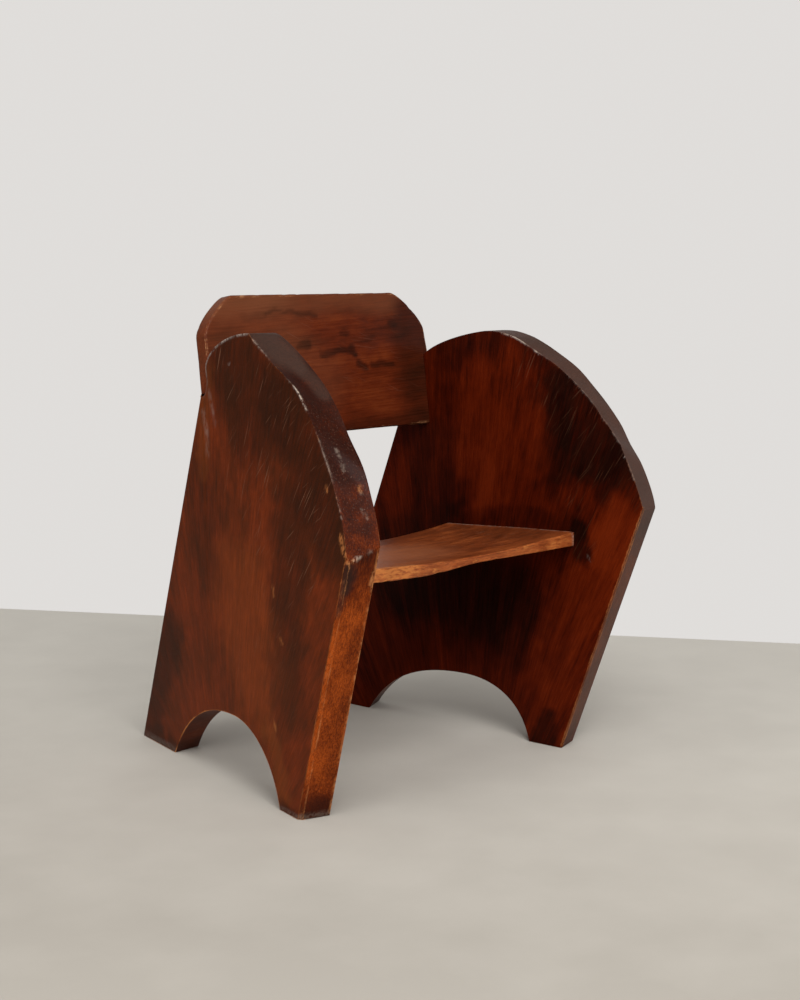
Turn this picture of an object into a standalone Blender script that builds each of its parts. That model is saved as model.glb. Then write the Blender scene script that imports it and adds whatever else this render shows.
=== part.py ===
"""Sculptural armchair of four planks.

Two thick shaped sides, toed in towards the rear, carry a dished seat board and a reclined back
board in housings on their inner faces. Blind dowels hold the ends of both boards.

Metres, +Z up. The chair faces -Y, and the origin is on the floor under the middle of the chair.
On a side, u runs rearward along the plank from the middle of the chair's depth, and an offset is
measured outward from the outer face, so the inner face lies at minus the thickness.
"""

from dataclasses import dataclass, replace
from math import cos, pi, radians, sin, tan

import bmesh
import bpy
from mathutils import Matrix, Vector

# Fits
CLEARANCE = 0.0003
NOTCH_EASE = 0.0006

# Both sides
HALF_WIDTH = 0.2769
SIDE_THICKNESS = 0.050
TOE_IN = radians(9.18)
LEAN = tan(radians(0.90))
SIDE_ARRIS = 0.003
ARRIS_SEGMENTS = 2

# Rear edge, feet and notch of both sides
HEEL_U = 0.353
SHOULDER_OUTER_U = 0.089
SHOULDER_INNER_U = 0.135
SHOULDER_RISE = 0.005
NOTCH_SPLAY = 0.028
HEAD_RISE = 0.048
INSTEP_FRONT_U = -0.130
ARCH_PEAK_U = 0.012

# Left side as it was cut by hand
LEFT_CREST_U = -0.071
LEFT_CREST_Z = 0.718
LEFT_KINK_OUTER_U = -0.336
LEFT_KINK_OUTER_Z = 0.410
LEFT_KINK_INNER_U = -0.346
LEFT_KINK_INNER_Z = 0.432
LEFT_TOE_OUTER_U = -0.189
LEFT_TOE_INNER_U = -0.194
LEFT_ARCH = 0.115
LEFT_INSTEP_OUTER_U = 0.228
LEFT_INSTEP_INNER_U = 0.240
LEFT_HEAD_RUN = 0.012
LEFT_HEAD_RISE = 0.036

# Right side as it was cut by hand
RIGHT_CREST_U = -0.056
RIGHT_CREST_Z = 0.708
RIGHT_KINK_OUTER_U = -0.337
RIGHT_KINK_OUTER_Z = 0.421
RIGHT_KINK_INNER_U = -0.343
RIGHT_KINK_INNER_Z = 0.424
RIGHT_TOE_OUTER_U = -0.188
RIGHT_TOE_INNER_U = -0.197
RIGHT_ARCH = 0.099
RIGHT_INSTEP_OUTER_U = 0.243
RIGHT_INSTEP_INNER_U = 0.226
RIGHT_HEAD_RUN = 0.027
RIGHT_HEAD_RISE = 0.026

# Pulls of the curves of a side, each a run and a rise from the end that it bends
HEAD_CREST_RUN = 0.050
ARCH_FRONT_RUN = 0.017
ARCH_REAR_RUN = 0.045
ARCH_FOOT_RISE = 0.070
ARCH_PEAK_FRONT_RUN = 0.066
ARCH_PEAK_REAR_RUN = 0.104

# Pulls of the arm's curve on each face, which was rounded by eye: down from the crest, up from the kink
LEFT_OUTER_CREST_RUN = 0.058
LEFT_OUTER_CREST_DIP = 0.048
LEFT_OUTER_KINK_RUN = 0.046
LEFT_OUTER_KINK_RISE = 0.248
LEFT_INNER_CREST_RUN = 0.186
LEFT_INNER_CREST_DIP = 0.067
LEFT_INNER_KINK_RUN = 0.008
LEFT_INNER_KINK_RISE = 0.070
RIGHT_OUTER_CREST_RUN = 0.187
RIGHT_OUTER_CREST_DIP = 0.055
RIGHT_OUTER_KINK_RUN = 0.003
RIGHT_OUTER_KINK_RISE = 0.040
RIGHT_INNER_CREST_RUN = 0.200
RIGHT_INNER_CREST_DIP = 0.072
RIGHT_INNER_KINK_RUN = 0.027
RIGHT_INNER_KINK_RISE = 0.080

# Seat board
SEAT_FRONT_Y = -0.216
SEAT_REAR_Y = 0.043
SEAT_HEIGHT = 0.3760
SEAT_FALL = 0.0105
SEAT_THICKNESS = 0.025
SEAT_DISH = 0.0145
SEAT_COVER = 0.034
SEAT_ARRIS = 0.002

# Back board
BACK_FRONT_Y = 0.0851
BACK_BOTTOM_Z = 0.5400
BACK_TOP_Z = 0.7700
BACK_RECLINE = radians(8.06)
BACK_THICKNESS = 0.027
BACK_HOUSED_HEIGHT = 0.073
BACK_COVER_LEFT = 0.020
BACK_COVER_RIGHT_LOW = 0.022
BACK_COVER_RIGHT_HIGH = 0.046
LEFT_CORNER_RUN = 0.060
LEFT_CORNER_DROP = 0.069
RIGHT_CORNER_RUN = 0.074
RIGHT_CORNER_DROP = 0.065
CORNER_TOP_PULL = 0.020
CORNER_END_PULL = 0.030
BACK_ARRIS = 0.0025

# Dowels
DOWEL_RADIUS = 0.005
DOWEL_IN_BOARD = 0.026
DOWEL_COVER = 0.009
SEAT_DOWEL_MARGIN = 0.040
BACK_DOWEL_RISE = 0.018

# Facets
STRAIGHT_STEPS = 6
HEAD_STEPS = 8
ARM_STEPS = 16
ARCH_STEPS = 9
CORNER_STEPS = 6
SEAT_CELLS_ACROSS = 20
SEAT_CELLS_DEEP = 4
DOWEL_SIDES = 16
SMOOTH_ANGLE = radians(32)

# Colour and roughness of the varnished wood, and of the bare dowels
SIDE_COLOUR = (0.115, 0.027, 0.010)
BACK_COLOUR = (0.190, 0.045, 0.016)
SEAT_COLOUR = (0.230, 0.075, 0.026)
DOWEL_COLOUR = (0.480, 0.300, 0.150)
SIDE_ROUGHNESS = 0.38
BACK_ROUGHNESS = 0.36
SEAT_ROUGHNESS = 0.42
DOWEL_ROUGHNESS = 0.60

LEFT = -1
RIGHT = 1


@dataclass(frozen=True)
class SideFace:
    """One face of a side: its offset, and the corners that its hand-cut outline runs through."""
    offset: float
    shoulder: float
    splay: float
    crest: tuple
    crest_pull: tuple
    head_pull: tuple
    kink: tuple
    kink_pull: tuple
    toe: float
    instep_rear: float
    arch: float


def clear_scene():
    for thing in list(bpy.data.objects):
        bpy.data.objects.remove(thing)


def face_half_width(y, z, offset):
    """Half of the chair's width at a point of a side's surface, at depth y and height z."""
    return HALF_WIDTH - y * tan(TOE_IN) + (LEAN * z + offset) / cos(TOE_IN)


def along_side(y, z, offset):
    """Distance u at which a side's surface reaches depth y at height z."""
    return (y - (LEAN * z + offset) * sin(TOE_IN)) / cos(TOE_IN)


def board_front(z):
    """Depth of the back board's front face at height z."""
    return BACK_FRONT_Y + (z - BACK_BOTTOM_Z) * tan(BACK_RECLINE)


def straight(start, end, steps):
    """Points of a straight run, without its end."""
    start = Vector(start)
    return [start.lerp(Vector(end), step / steps) for step in range(steps)]


def bend(start, start_pull, end_pull, end, steps):
    """Points of a cubic curve, without its end. The pulls are measured from the ends."""
    first = Vector(start)
    last = Vector(end)
    second = first + Vector(start_pull)
    third = last + Vector(end_pull)
    points = []
    for step in range(steps):
        t = step / steps
        s = 1 - t
        points.append(first * s**3 + second * (3 * s * s * t) + third * (3 * s * t * t) + last * t**3)
    return points


def side_outline(face):
    """Outline of one face in u and z: up the rear edge, over the arm and back along the floor."""
    floor_of_notch = BACK_BOTTOM_Z + BACK_HOUSED_HEIGHT
    top_of_notch = floor_of_notch + HEAD_RISE

    def notch_wall(z):
        return (along_side(board_front(z) - NOTCH_EASE, z, face.offset) - face.splay, z)

    heel = (HEEL_U, 0)
    shoulder = (face.shoulder, floor_of_notch + SHOULDER_RISE)
    toe = (face.toe, 0)
    instep_front = (INSTEP_FRONT_U, 0)
    instep_rear = (face.instep_rear, 0)
    peak = (ARCH_PEAK_U, face.arch)
    points = straight(heel, shoulder, STRAIGHT_STEPS)
    points += straight(shoulder, notch_wall(floor_of_notch), 1)
    points += straight(notch_wall(floor_of_notch), notch_wall(top_of_notch), 1)
    points += bend(notch_wall(top_of_notch), face.head_pull,
                   (HEAD_CREST_RUN, 0), face.crest, HEAD_STEPS)
    points += bend(face.crest, face.crest_pull, face.kink_pull, face.kink, ARM_STEPS)
    points += straight(face.kink, toe, STRAIGHT_STEPS)
    points += straight(toe, instep_front, 1)
    points += bend(instep_front, (ARCH_FRONT_RUN, ARCH_FOOT_RISE),
                   (-ARCH_PEAK_FRONT_RUN, 0), peak, ARCH_STEPS)
    points += bend(peak, (ARCH_PEAK_REAR_RUN, 0),
                   (-ARCH_REAR_RUN, ARCH_FOOT_RISE), instep_rear, ARCH_STEPS)
    points += straight(instep_rear, heel, 1)
    return points


def wood(name, colour, roughness):
    finish = bpy.data.materials.new(name + "_wood")
    finish.use_nodes = True
    shader = finish.node_tree.nodes["Principled BSDF"]
    shader.inputs["Base Color"].default_value = (*colour, 1)
    shader.inputs["Roughness"].default_value = roughness
    shader.inputs["Metallic"].default_value = 0
    finish.diffuse_color = (*colour, 1)
    return finish


def finish_piece(bm, name, chair, colour, roughness):
    """Turn a bmesh into a shaded object that stands under the chair's empty."""
    bmesh.ops.recalc_face_normals(bm, faces=bm.faces[:])
    mesh = bpy.data.meshes.new(name)
    bm.to_mesh(mesh)
    bm.free()
    mesh.shade_smooth()
    mesh.set_sharp_from_angle(angle=SMOOTH_ANGLE)
    piece = bpy.data.objects.new(name, mesh)
    bpy.context.scene.collection.objects.link(piece)
    mesh.materials.append(wood(name, colour, roughness))
    piece.parent = chair
    return piece


def make_cutter(piece):
    piece.hide_render = True
    piece.display_type = "WIRE"
    return piece


def cut(piece, cutter):
    housing = piece.modifiers.new(cutter.name, "BOOLEAN")
    housing.operation = "DIFFERENCE"
    housing.solver = "EXACT"
    housing.object = cutter


def make_side(name, side, outer, inner, chair):
    """Loft a plank between its two outlines and ease the arrises."""
    bm = bmesh.new()
    loops = []
    for face in (outer, inner):
        loop = []
        for u, z in side_outline(face):
            loop.append(bm.verts.new((u, -side * (face.offset + LEAN * z), z)))
        bm.faces.new(loop)
        loops.append(loop)
    arrises = bm.edges[:]
    outer_loop, inner_loop = loops
    count = len(outer_loop)
    for here in range(count):
        after = (here + 1) % count
        bm.faces.new((outer_loop[here], outer_loop[after], inner_loop[after], inner_loop[here]))
    bmesh.ops.bevel(bm, geom=arrises, offset=SIDE_ARRIS, offset_type="OFFSET", affect="EDGES",
                    segments=ARRIS_SEGMENTS, profile=0.5, material=-1, clamp_overlap=True)
    piece = finish_piece(bm, name, chair, SIDE_COLOUR, SIDE_ROUGHNESS)
    piece.location = (side * HALF_WIDTH, 0, 0)
    piece.rotation_euler = (0, 0, pi / 2 + side * TOE_IN)
    return piece


def seat_end(y):
    """Half length of the seat board at depth y, up to the bottom of its housings."""
    return face_half_width(y, SEAT_HEIGHT, -SEAT_COVER)


def seat_top(y):
    """Height of the seat board's top at its ends, at depth y."""
    return SEAT_HEIGHT - SEAT_FALL * (y - SEAT_FRONT_Y) / (SEAT_REAR_Y - SEAT_FRONT_Y)


def make_seat(name, chair, grow=0.0):
    """A plank with a trough across its top. Grown by a clearance it is its own housing."""
    bm = bmesh.new()
    bmesh.ops.create_grid(bm, x_segments=SEAT_CELLS_ACROSS, y_segments=SEAT_CELLS_DEEP, size=1)
    top = bm.verts[:]
    lower = bmesh.ops.extrude_face_region(bm, geom=bm.faces[:])["geom"]
    under = [part for part in lower if isinstance(part, bmesh.types.BMVert)]
    middle = (SEAT_FRONT_Y + SEAT_REAR_Y) / 2
    half_depth = (SEAT_REAR_Y - SEAT_FRONT_Y) / 2 + grow
    for rows, is_top in ((top, True), (under, False)):
        for vert in rows:
            y = middle + vert.co.y * half_depth
            x = vert.co.x * (seat_end(y) + grow)
            between = min(1, abs(x) / face_half_width(y, SEAT_HEIGHT, -SIDE_THICKNESS))
            dish = SEAT_DISH * (1 - between**2)
            z = seat_top(y) - dish + grow if is_top else seat_top(y) - SEAT_THICKNESS - grow
            vert.co = (x, y, z)
    if grow == 0:
        long_edges = [edge for edge in bm.edges if edge.calc_face_angle(0) > pi / 3
                      and abs(edge.verts[0].co.y - edge.verts[1].co.y) < CLEARANCE
                      and abs(edge.verts[0].co.x - edge.verts[1].co.x) > CLEARANCE]
        bmesh.ops.bevel(bm, geom=long_edges, offset=SEAT_ARRIS, offset_type="OFFSET", affect="EDGES",
                        segments=ARRIS_SEGMENTS, profile=0.5, material=-1, clamp_overlap=True)
    return finish_piece(bm, name, chair, SEAT_COLOUR, SEAT_ROUGHNESS)


def back_end(z, offset):
    """Half length of the back board where its middle layer lies at height z."""
    return face_half_width(board_front(z) + BACK_THICKNESS / 2, z, offset)


def back_outline(grow):
    """Outline of the back board in x and in height up its slope, from its lower left corner."""
    height = (BACK_TOP_Z - BACK_BOTTOM_Z) / cos(BACK_RECLINE)
    middle_z = (BACK_BOTTOM_Z + BACK_TOP_Z) / 2
    left = -back_end(middle_z, -BACK_COVER_LEFT) - grow
    right_low = back_end(BACK_BOTTOM_Z, -BACK_COVER_RIGHT_LOW) + grow
    right_high = back_end(BACK_TOP_Z, -BACK_COVER_RIGHT_HIGH) + grow
    bottom = -grow
    top = height + grow
    slant = (right_high - right_low) / (top - bottom)
    right_start = (right_high - slant * RIGHT_CORNER_DROP, top - RIGHT_CORNER_DROP)
    points = straight((left, bottom), (right_low, bottom), 1)
    points += straight((right_low, bottom), right_start, 1)
    points += bend(right_start, (slant * CORNER_END_PULL, CORNER_END_PULL), (CORNER_TOP_PULL, 0),
                   (right_high - RIGHT_CORNER_RUN, top), CORNER_STEPS)
    points += straight((right_high - RIGHT_CORNER_RUN, top), (left + LEFT_CORNER_RUN, top), 1)
    points += bend((left + LEFT_CORNER_RUN, top), (-CORNER_TOP_PULL, 0), (0, CORNER_END_PULL),
                   (left, top - LEFT_CORNER_DROP), CORNER_STEPS)
    points += straight((left, top - LEFT_CORNER_DROP), (left, bottom), 1)
    return points


def make_back(name, chair, grow=0.0):
    """A reclined plank, extruded rearward. Grown by a clearance it is its own housing."""
    bm = bmesh.new()
    front = bm.faces.new([bm.verts.new((x, -grow, rise)) for x, rise in back_outline(grow)])
    made = bmesh.ops.extrude_face_region(bm, geom=[front], use_keep_orig=True)["geom"]
    rear = [part for part in made if isinstance(part, bmesh.types.BMVert)]
    bmesh.ops.translate(bm, verts=rear, vec=(0, BACK_THICKNESS + 2 * grow, 0))
    if grow == 0:
        arrises = [edge for edge in bm.edges if abs(edge.verts[0].co.y - edge.verts[1].co.y) < CLEARANCE]
        bmesh.ops.bevel(bm, geom=arrises, offset=BACK_ARRIS, offset_type="OFFSET", affect="EDGES",
                        segments=ARRIS_SEGMENTS, profile=0.5, material=-1, clamp_overlap=True)
    piece = finish_piece(bm, name, chair, BACK_COLOUR, BACK_ROUGHNESS)
    piece.location = (0, BACK_FRONT_Y, BACK_BOTTOM_Z)
    piece.rotation_euler = (-BACK_RECLINE, 0, 0)
    return piece


def dowel_seats():
    """Name, side, depth, height and start of each dowel. It starts inside its board's end."""
    seats = []
    middle = (SEAT_FRONT_Y + SEAT_REAR_Y) / 2
    stations = {"front": SEAT_FRONT_Y + SEAT_DOWEL_MARGIN, "middle": middle,
                "rear": SEAT_REAR_Y - SEAT_DOWEL_MARGIN}
    for side, word in ((LEFT, "left"), (RIGHT, "right")):
        for place, y in stations.items():
            z = seat_top(y) - SEAT_THICKNESS / 2
            seats.append((f"seat_dowel_{word}_{place}", side, y, z, seat_end(y) - DOWEL_IN_BOARD))
        z = BACK_BOTTOM_Z + BACK_DOWEL_RISE
        y = board_front(z) + BACK_THICKNESS / 2 / cos(BACK_RECLINE)
        cover = BACK_COVER_LEFT if side == LEFT else BACK_COVER_RIGHT_LOW
        seats.append((f"back_dowel_{word}", side, y, z, back_end(z, -cover) - DOWEL_IN_BOARD))
    return seats


def add_dowel(bm, side, y, z, start, grow):
    """A round peg from inside a board's end to a short way under the side's outer face."""
    stop = face_half_width(y, z, -DOWEL_COVER)
    place = Matrix.Translation((side * (start + stop) / 2, y, z)) @ Matrix.Rotation(pi / 2, 4, "Y")
    bmesh.ops.create_cone(bm, cap_ends=True, segments=DOWEL_SIDES, radius1=DOWEL_RADIUS + grow,
                          radius2=DOWEL_RADIUS + grow, depth=stop - start + 2 * grow, matrix=place)


def stand_on_origin(chair, pieces):
    """Move the chair so that the middle of its footprint stands on the origin."""
    bpy.context.view_layer.update()
    points = [piece.matrix_world @ vert.co for piece in pieces for vert in piece.data.vertices]
    low = Vector([min(axis) for axis in zip(*points)])
    high = Vector([max(axis) for axis in zip(*points)])
    chair.location = (-(low.x + high.x) / 2, -(low.y + high.y) / 2, -low.z)
    print("footprint middle was at", (low + high) / 2, "overall size", high - low)


def make_faces():
    """The four hand-cut faces: left outer, left inner, right outer, right inner."""
    left_outer = SideFace(
        offset=0,
        shoulder=SHOULDER_OUTER_U,
        splay=NOTCH_SPLAY,
        head_pull=(-LEFT_HEAD_RUN, LEFT_HEAD_RISE),
        crest=(LEFT_CREST_U, LEFT_CREST_Z),
        crest_pull=(-LEFT_OUTER_CREST_RUN, -LEFT_OUTER_CREST_DIP),
        kink=(LEFT_KINK_OUTER_U, LEFT_KINK_OUTER_Z),
        kink_pull=(LEFT_OUTER_KINK_RUN, LEFT_OUTER_KINK_RISE),
        toe=LEFT_TOE_OUTER_U,
        instep_rear=LEFT_INSTEP_OUTER_U,
        arch=LEFT_ARCH,
    )
    left_inner = replace(
        left_outer,
        offset=-SIDE_THICKNESS,
        shoulder=SHOULDER_INNER_U,
        splay=0,
        crest_pull=(-LEFT_INNER_CREST_RUN, -LEFT_INNER_CREST_DIP),
        kink=(LEFT_KINK_INNER_U, LEFT_KINK_INNER_Z),
        kink_pull=(LEFT_INNER_KINK_RUN, LEFT_INNER_KINK_RISE),
        toe=LEFT_TOE_INNER_U,
        instep_rear=LEFT_INSTEP_INNER_U,
    )
    right_outer = SideFace(
        offset=0,
        shoulder=SHOULDER_OUTER_U,
        splay=NOTCH_SPLAY,
        head_pull=(-RIGHT_HEAD_RUN, RIGHT_HEAD_RISE),
        crest=(RIGHT_CREST_U, RIGHT_CREST_Z),
        crest_pull=(-RIGHT_OUTER_CREST_RUN, -RIGHT_OUTER_CREST_DIP),
        kink=(RIGHT_KINK_OUTER_U, RIGHT_KINK_OUTER_Z),
        kink_pull=(RIGHT_OUTER_KINK_RUN, RIGHT_OUTER_KINK_RISE),
        toe=RIGHT_TOE_OUTER_U,
        instep_rear=RIGHT_INSTEP_OUTER_U,
        arch=RIGHT_ARCH,
    )
    right_inner = replace(
        right_outer,
        offset=-SIDE_THICKNESS,
        shoulder=SHOULDER_INNER_U,
        splay=0,
        crest_pull=(-RIGHT_INNER_CREST_RUN, -RIGHT_INNER_CREST_DIP),
        kink=(RIGHT_KINK_INNER_U, RIGHT_KINK_INNER_Z),
        kink_pull=(RIGHT_INNER_KINK_RUN, RIGHT_INNER_KINK_RISE),
        toe=RIGHT_TOE_INNER_U,
        instep_rear=RIGHT_INSTEP_INNER_U,
    )
    return left_outer, left_inner, right_outer, right_inner


def build_chair():
    clear_scene()
    chair = bpy.data.objects.new("chair", None)
    bpy.context.scene.collection.objects.link(chair)

    left_outer, left_inner, right_outer, right_inner = make_faces()
    left_side = make_side("left_side", LEFT, left_outer, left_inner, chair)
    right_side = make_side("right_side", RIGHT, right_outer, right_inner, chair)
    seat_board = make_seat("seat_board", chair)
    back_board = make_back("back_board", chair)

    dowels = []
    bores = bmesh.new()
    for name, side, y, z, start in dowel_seats():
        peg = bmesh.new()
        add_dowel(peg, side, y, z, start, 0)
        dowels.append(finish_piece(peg, name, chair, DOWEL_COLOUR, DOWEL_ROUGHNESS))
        add_dowel(bores, side, y, z, start, CLEARANCE)

    dowel_bores = make_cutter(finish_piece(bores, "dowel_bores", chair, DOWEL_COLOUR, DOWEL_ROUGHNESS))
    seat_housing = make_cutter(make_seat("seat_housing", chair, CLEARANCE))
    back_housing = make_cutter(make_back("back_housing", chair, CLEARANCE))
    for plank in (left_side, right_side):
        cut(plank, seat_housing)
        cut(plank, back_housing)
        cut(plank, dowel_bores)
    cut(seat_board, dowel_bores)
    cut(back_board, dowel_bores)

    stand_on_origin(chair, [left_side, right_side, seat_board, back_board, *dowels])


build_chair()
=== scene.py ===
# %% [markdown]
# # A sculptural armchair of four planks
# The chair is two thick shaped sides, a dished seat board and a reclined back board, all of one
# reddish hardwood under old varnish. The CAD frame already has every plank in its place. This lesson
# dresses it: each plank is cut again with worn arrises, tool marks and dents, and gets a finish with
# grain, stains and rubbed edges, and some painted shade, sheen and highlights. The frame is loaded first.

# %% Load the frame
from math import atan2, cos, pi, radians, sin, tan

import bmesh
import bpy
from mathutils import Matrix, Vector, kdtree, noise


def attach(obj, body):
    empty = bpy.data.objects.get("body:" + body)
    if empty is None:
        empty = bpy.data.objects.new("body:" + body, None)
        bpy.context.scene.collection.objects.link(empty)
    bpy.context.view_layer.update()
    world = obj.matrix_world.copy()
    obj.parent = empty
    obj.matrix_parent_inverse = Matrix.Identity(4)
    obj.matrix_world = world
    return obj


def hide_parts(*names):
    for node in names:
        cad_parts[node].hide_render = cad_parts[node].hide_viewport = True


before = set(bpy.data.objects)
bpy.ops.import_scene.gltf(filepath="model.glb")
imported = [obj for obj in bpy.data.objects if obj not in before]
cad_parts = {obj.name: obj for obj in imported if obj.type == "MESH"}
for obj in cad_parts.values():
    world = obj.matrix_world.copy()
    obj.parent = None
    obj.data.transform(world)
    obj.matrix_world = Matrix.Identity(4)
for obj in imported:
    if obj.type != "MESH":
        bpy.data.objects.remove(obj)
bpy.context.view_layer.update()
print("pieces in the frame:", len(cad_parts))

# %% [markdown]
# ## Camera
# The photograph was taken from the front left, a little above the arms. A camera is a place, a
# heading and a lens. These come from fitting the corners of the chair to the picture, so the lens
# isn't shifted and the planks fall where the photograph has them.

# %% Camera
EYE = (-1.8203, -2.04, 0.8234)
HEADING = radians(42.82)
DOWNWARD = radians(8.14)
FOCAL_LENGTH = 60
FILM_SIZE = 36


def add_object(name, data):
    """A new object in the scene."""
    thing = bpy.data.objects.new(name, data)
    bpy.context.scene.collection.objects.link(thing)
    return thing


camera_data = bpy.data.cameras.new("camera")
camera_data.sensor_width = FILM_SIZE
camera_data.lens = FOCAL_LENGTH
camera = add_object("camera", camera_data)
camera.location = EYE
camera.rotation_euler = (pi / 2 - DOWNWARD, 0, -HEADING)
bpy.context.scene.camera = camera
print("camera looks", round(HEADING, 3), "right of the rear and", round(DOWNWARD, 3), "down")

# %% [markdown]
# ## Node helpers
# Every finish below is a small net of shader nodes. These helpers keep the nets readable: one fills
# sockets with numbers, colours or other nodes' outputs, one adds a node, and the others add arithmetic,
# a slope between two values, a mix of colours, a distance along a direction and soft noise.


# %% Node helpers
def fill(tree, node, sockets):
    """Set each socket to a plain value, or link another node's output into it."""
    for socket, source in sockets.items():
        if isinstance(source, bpy.types.NodeSocket):
            tree.links.new(source, node.inputs[socket])
        else:
            node.inputs[socket].default_value = source


def add_node(tree, kind, sockets=None, **settings):
    node = tree.nodes.new(kind)
    for name, value in settings.items():
        setattr(node, name, value)
    fill(tree, node, sockets or {})
    return node


def reckon(tree, operation, first, second, clamp=False):
    node = add_node(tree, "ShaderNodeMath", {0: first, 1: second}, operation=operation, use_clamp=clamp)
    return node.outputs[0]


def times(tree, first, second):
    return reckon(tree, "MULTIPLY", first, second)


def ramp_between(tree, value, low, high):
    """0 under low, 1 over high, and an eased slope between."""
    span = {"Value": value, "From Min": low, "From Max": high}
    return add_node(tree, "ShaderNodeMapRange", span, interpolation_type="SMOOTHSTEP").outputs[0]


def mix_colours(tree, amount, first, second):
    node = add_node(tree, "ShaderNodeMix", {0: amount, 6: first, 7: second}, data_type="RGBA")
    return node.outputs[2]


def reach_along(tree, place, way):
    """How far a place lies along a direction."""
    node = add_node(tree, "ShaderNodeVectorMath", {0: place, 1: way}, operation="DOT_PRODUCT")
    return node.outputs["Value"]


def cloudy(tree, place, scale, detail, roughness=0.5):
    """Soft noise round one half. More roughness gives its small parts more weight."""
    sockets = {"Vector": place, "Scale": scale, "Detail": detail, "Roughness": roughness}
    return add_node(tree, "ShaderNodeTexNoise", sockets).outputs[0]


def new_finish(name):
    """A new material with its node tree and its shader."""
    finish = bpy.data.materials.new(name)
    finish.use_nodes = True
    return finish, finish.node_tree, finish.node_tree.nodes["Principled BSDF"]


# %% [markdown]
# ## Floor
# The chair stands on a plain pale floor that ends at a straight line behind it. The floor is darker
# near the camera and a little patchy. It only catches shadows and isn't part of the chair, so it is
# left out of the chair's body.

# %% Floor
BACKDROP_HEADING = radians(35.7)
BACKDROP_WAY = Vector((cos(BACKDROP_HEADING), sin(BACKDROP_HEADING), 0))
BACKDROP_DISTANCE = 0.983
FLOOR_SIZE = 8
FLOOR_DROP = 0.0004
FLOOR_NEAR_COLOUR = (0.402, 0.369, 0.322, 1)
FLOOR_FAR_COLOUR = (0.73, 0.688, 0.615, 1)
FLOOR_FADE = (-0.85, 0.95)
FLOOR_PATCHES = 0.3
FLOOR_PATCH_SCALE = 7
FLOOR_PATCH_DETAIL = 7
FLOOR_ROUGHNESS = 0.75
FLOOR_SPECULAR = 0.2


def object_of(bm, name):
    """An object in the scene, made from a mesh that was being edited."""
    mesh = bpy.data.meshes.new(name)
    bm.to_mesh(mesh)
    bm.free()
    return add_object(name, mesh)


floor_bm = bmesh.new()
floor_middle = BACKDROP_WAY * (BACKDROP_DISTANCE - FLOOR_SIZE / 2) - Vector((0, 0, FLOOR_DROP))
floor_turn = Matrix.Translation(floor_middle) @ Matrix.Rotation(BACKDROP_HEADING, 4, "Z")
bmesh.ops.create_grid(floor_bm, x_segments=1, y_segments=1, size=FLOOR_SIZE / 2, matrix=floor_turn)
floor = object_of(floor_bm, "floor")

floor_paint, floor_tree, floor_shader = new_finish("pale_floor")
floor_place = add_node(floor_tree, "ShaderNodeTexCoord").outputs["Object"]
floor_depth = reach_along(floor_tree, floor_place, BACKDROP_WAY)
floor_span = {"Value": floor_depth, "From Min": FLOOR_FADE[0], "From Max": FLOOR_FADE[1]}
floor_fade = add_node(floor_tree, "ShaderNodeMapRange", floor_span).outputs[0]
floor_cloud = cloudy(floor_tree, floor_place, FLOOR_PATCH_SCALE, FLOOR_PATCH_DETAIL)
floor_patch = times(floor_tree, reckon(floor_tree, "SUBTRACT", floor_cloud, 0.5), FLOOR_PATCHES)
floor_amount = reckon(floor_tree, "ADD", floor_fade, floor_patch, clamp=True)
floor_tone = mix_colours(floor_tree, floor_amount, FLOOR_NEAR_COLOUR, FLOOR_FAR_COLOUR)
fill(floor_tree, floor_shader, {"Base Color": floor_tone, "Roughness": FLOOR_ROUGHNESS,
                                "Specular IOR Level": FLOOR_SPECULAR})
floor.data.materials.append(floor_paint)
print("floor ends", BACKDROP_DISTANCE, "m behind the chair's middle")

# %% [markdown]
# ## Sky and lamps
# Wide soft lamps stand round the chair, the strongest at the front and at the left, so the shadows stay
# close to the feet. The sky is dim all round, brighter above, and brightest behind and to the right.
# Rounded arrises that turn that way shine, while the broad faces mirror the dim side and stay deep. The
# camera itself sees a plain pale grey.

# %% Sky and lamps
SKY_SEEN = (0.745, 0.725, 0.705, 1)
SKY_DIM = (0.155, 0.155, 0.155, 1)
SKY_ABOVE = (0.34, 0.338, 0.334, 1)
SKY_BACKDROP = (0.62, 0.61, 0.6, 1)
SKY_RISE = (0, 0.9)
BACKDROP_SPREAD = (0.3, 0.75)
BACKDROP_TOP = (0.55, 0.2)
LAMP_PLACES_SIZES_POWERS = {
    "ceiling": ((-0.5, -0.2, 3), 2.4, 9),
    "front_window": ((-1.15, -2.1, 2.6), 1.6, 74),
    "front_fill": ((-0.2, -3.4, 1), 2.4, 34),
    "left_window": ((-3.2, -0.2, 1), 2, 58),
    "right_window": ((2.9, -1.6, 0.9), 1.8, 7),
}
LAMP_AIM = Vector((0, 0, 0.35))

sky = bpy.data.worlds.new("pale_sky")
bpy.context.scene.world = sky
sky.use_nodes = True
sky_tree = sky.node_tree
sky_way = add_node(sky_tree, "ShaderNodeTexCoord").outputs["Generated"]
sky_height = reach_along(sky_tree, sky_way, (0, 0, 1))
sky_rise = ramp_between(sky_tree, sky_height, *SKY_RISE)
sky_towards = ramp_between(sky_tree, reach_along(sky_tree, sky_way, BACKDROP_WAY), *BACKDROP_SPREAD)
sky_low = ramp_between(sky_tree, sky_height, *BACKDROP_TOP)
sky_colour = mix_colours(sky_tree, sky_rise, SKY_DIM, SKY_ABOVE)
sky_colour = mix_colours(sky_tree, times(sky_tree, sky_towards, sky_low), sky_colour, SKY_BACKDROP)
sky_light = sky_tree.nodes["Background"]
fill(sky_tree, sky_light, {"Color": sky_colour})
sky_seen = add_node(sky_tree, "ShaderNodeBackground", {"Color": SKY_SEEN})
sky_ray = add_node(sky_tree, "ShaderNodeLightPath").outputs["Is Camera Ray"]
sky_parts = {0: sky_ray, 1: sky_light.outputs[0], 2: sky_seen.outputs[0]}
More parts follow.
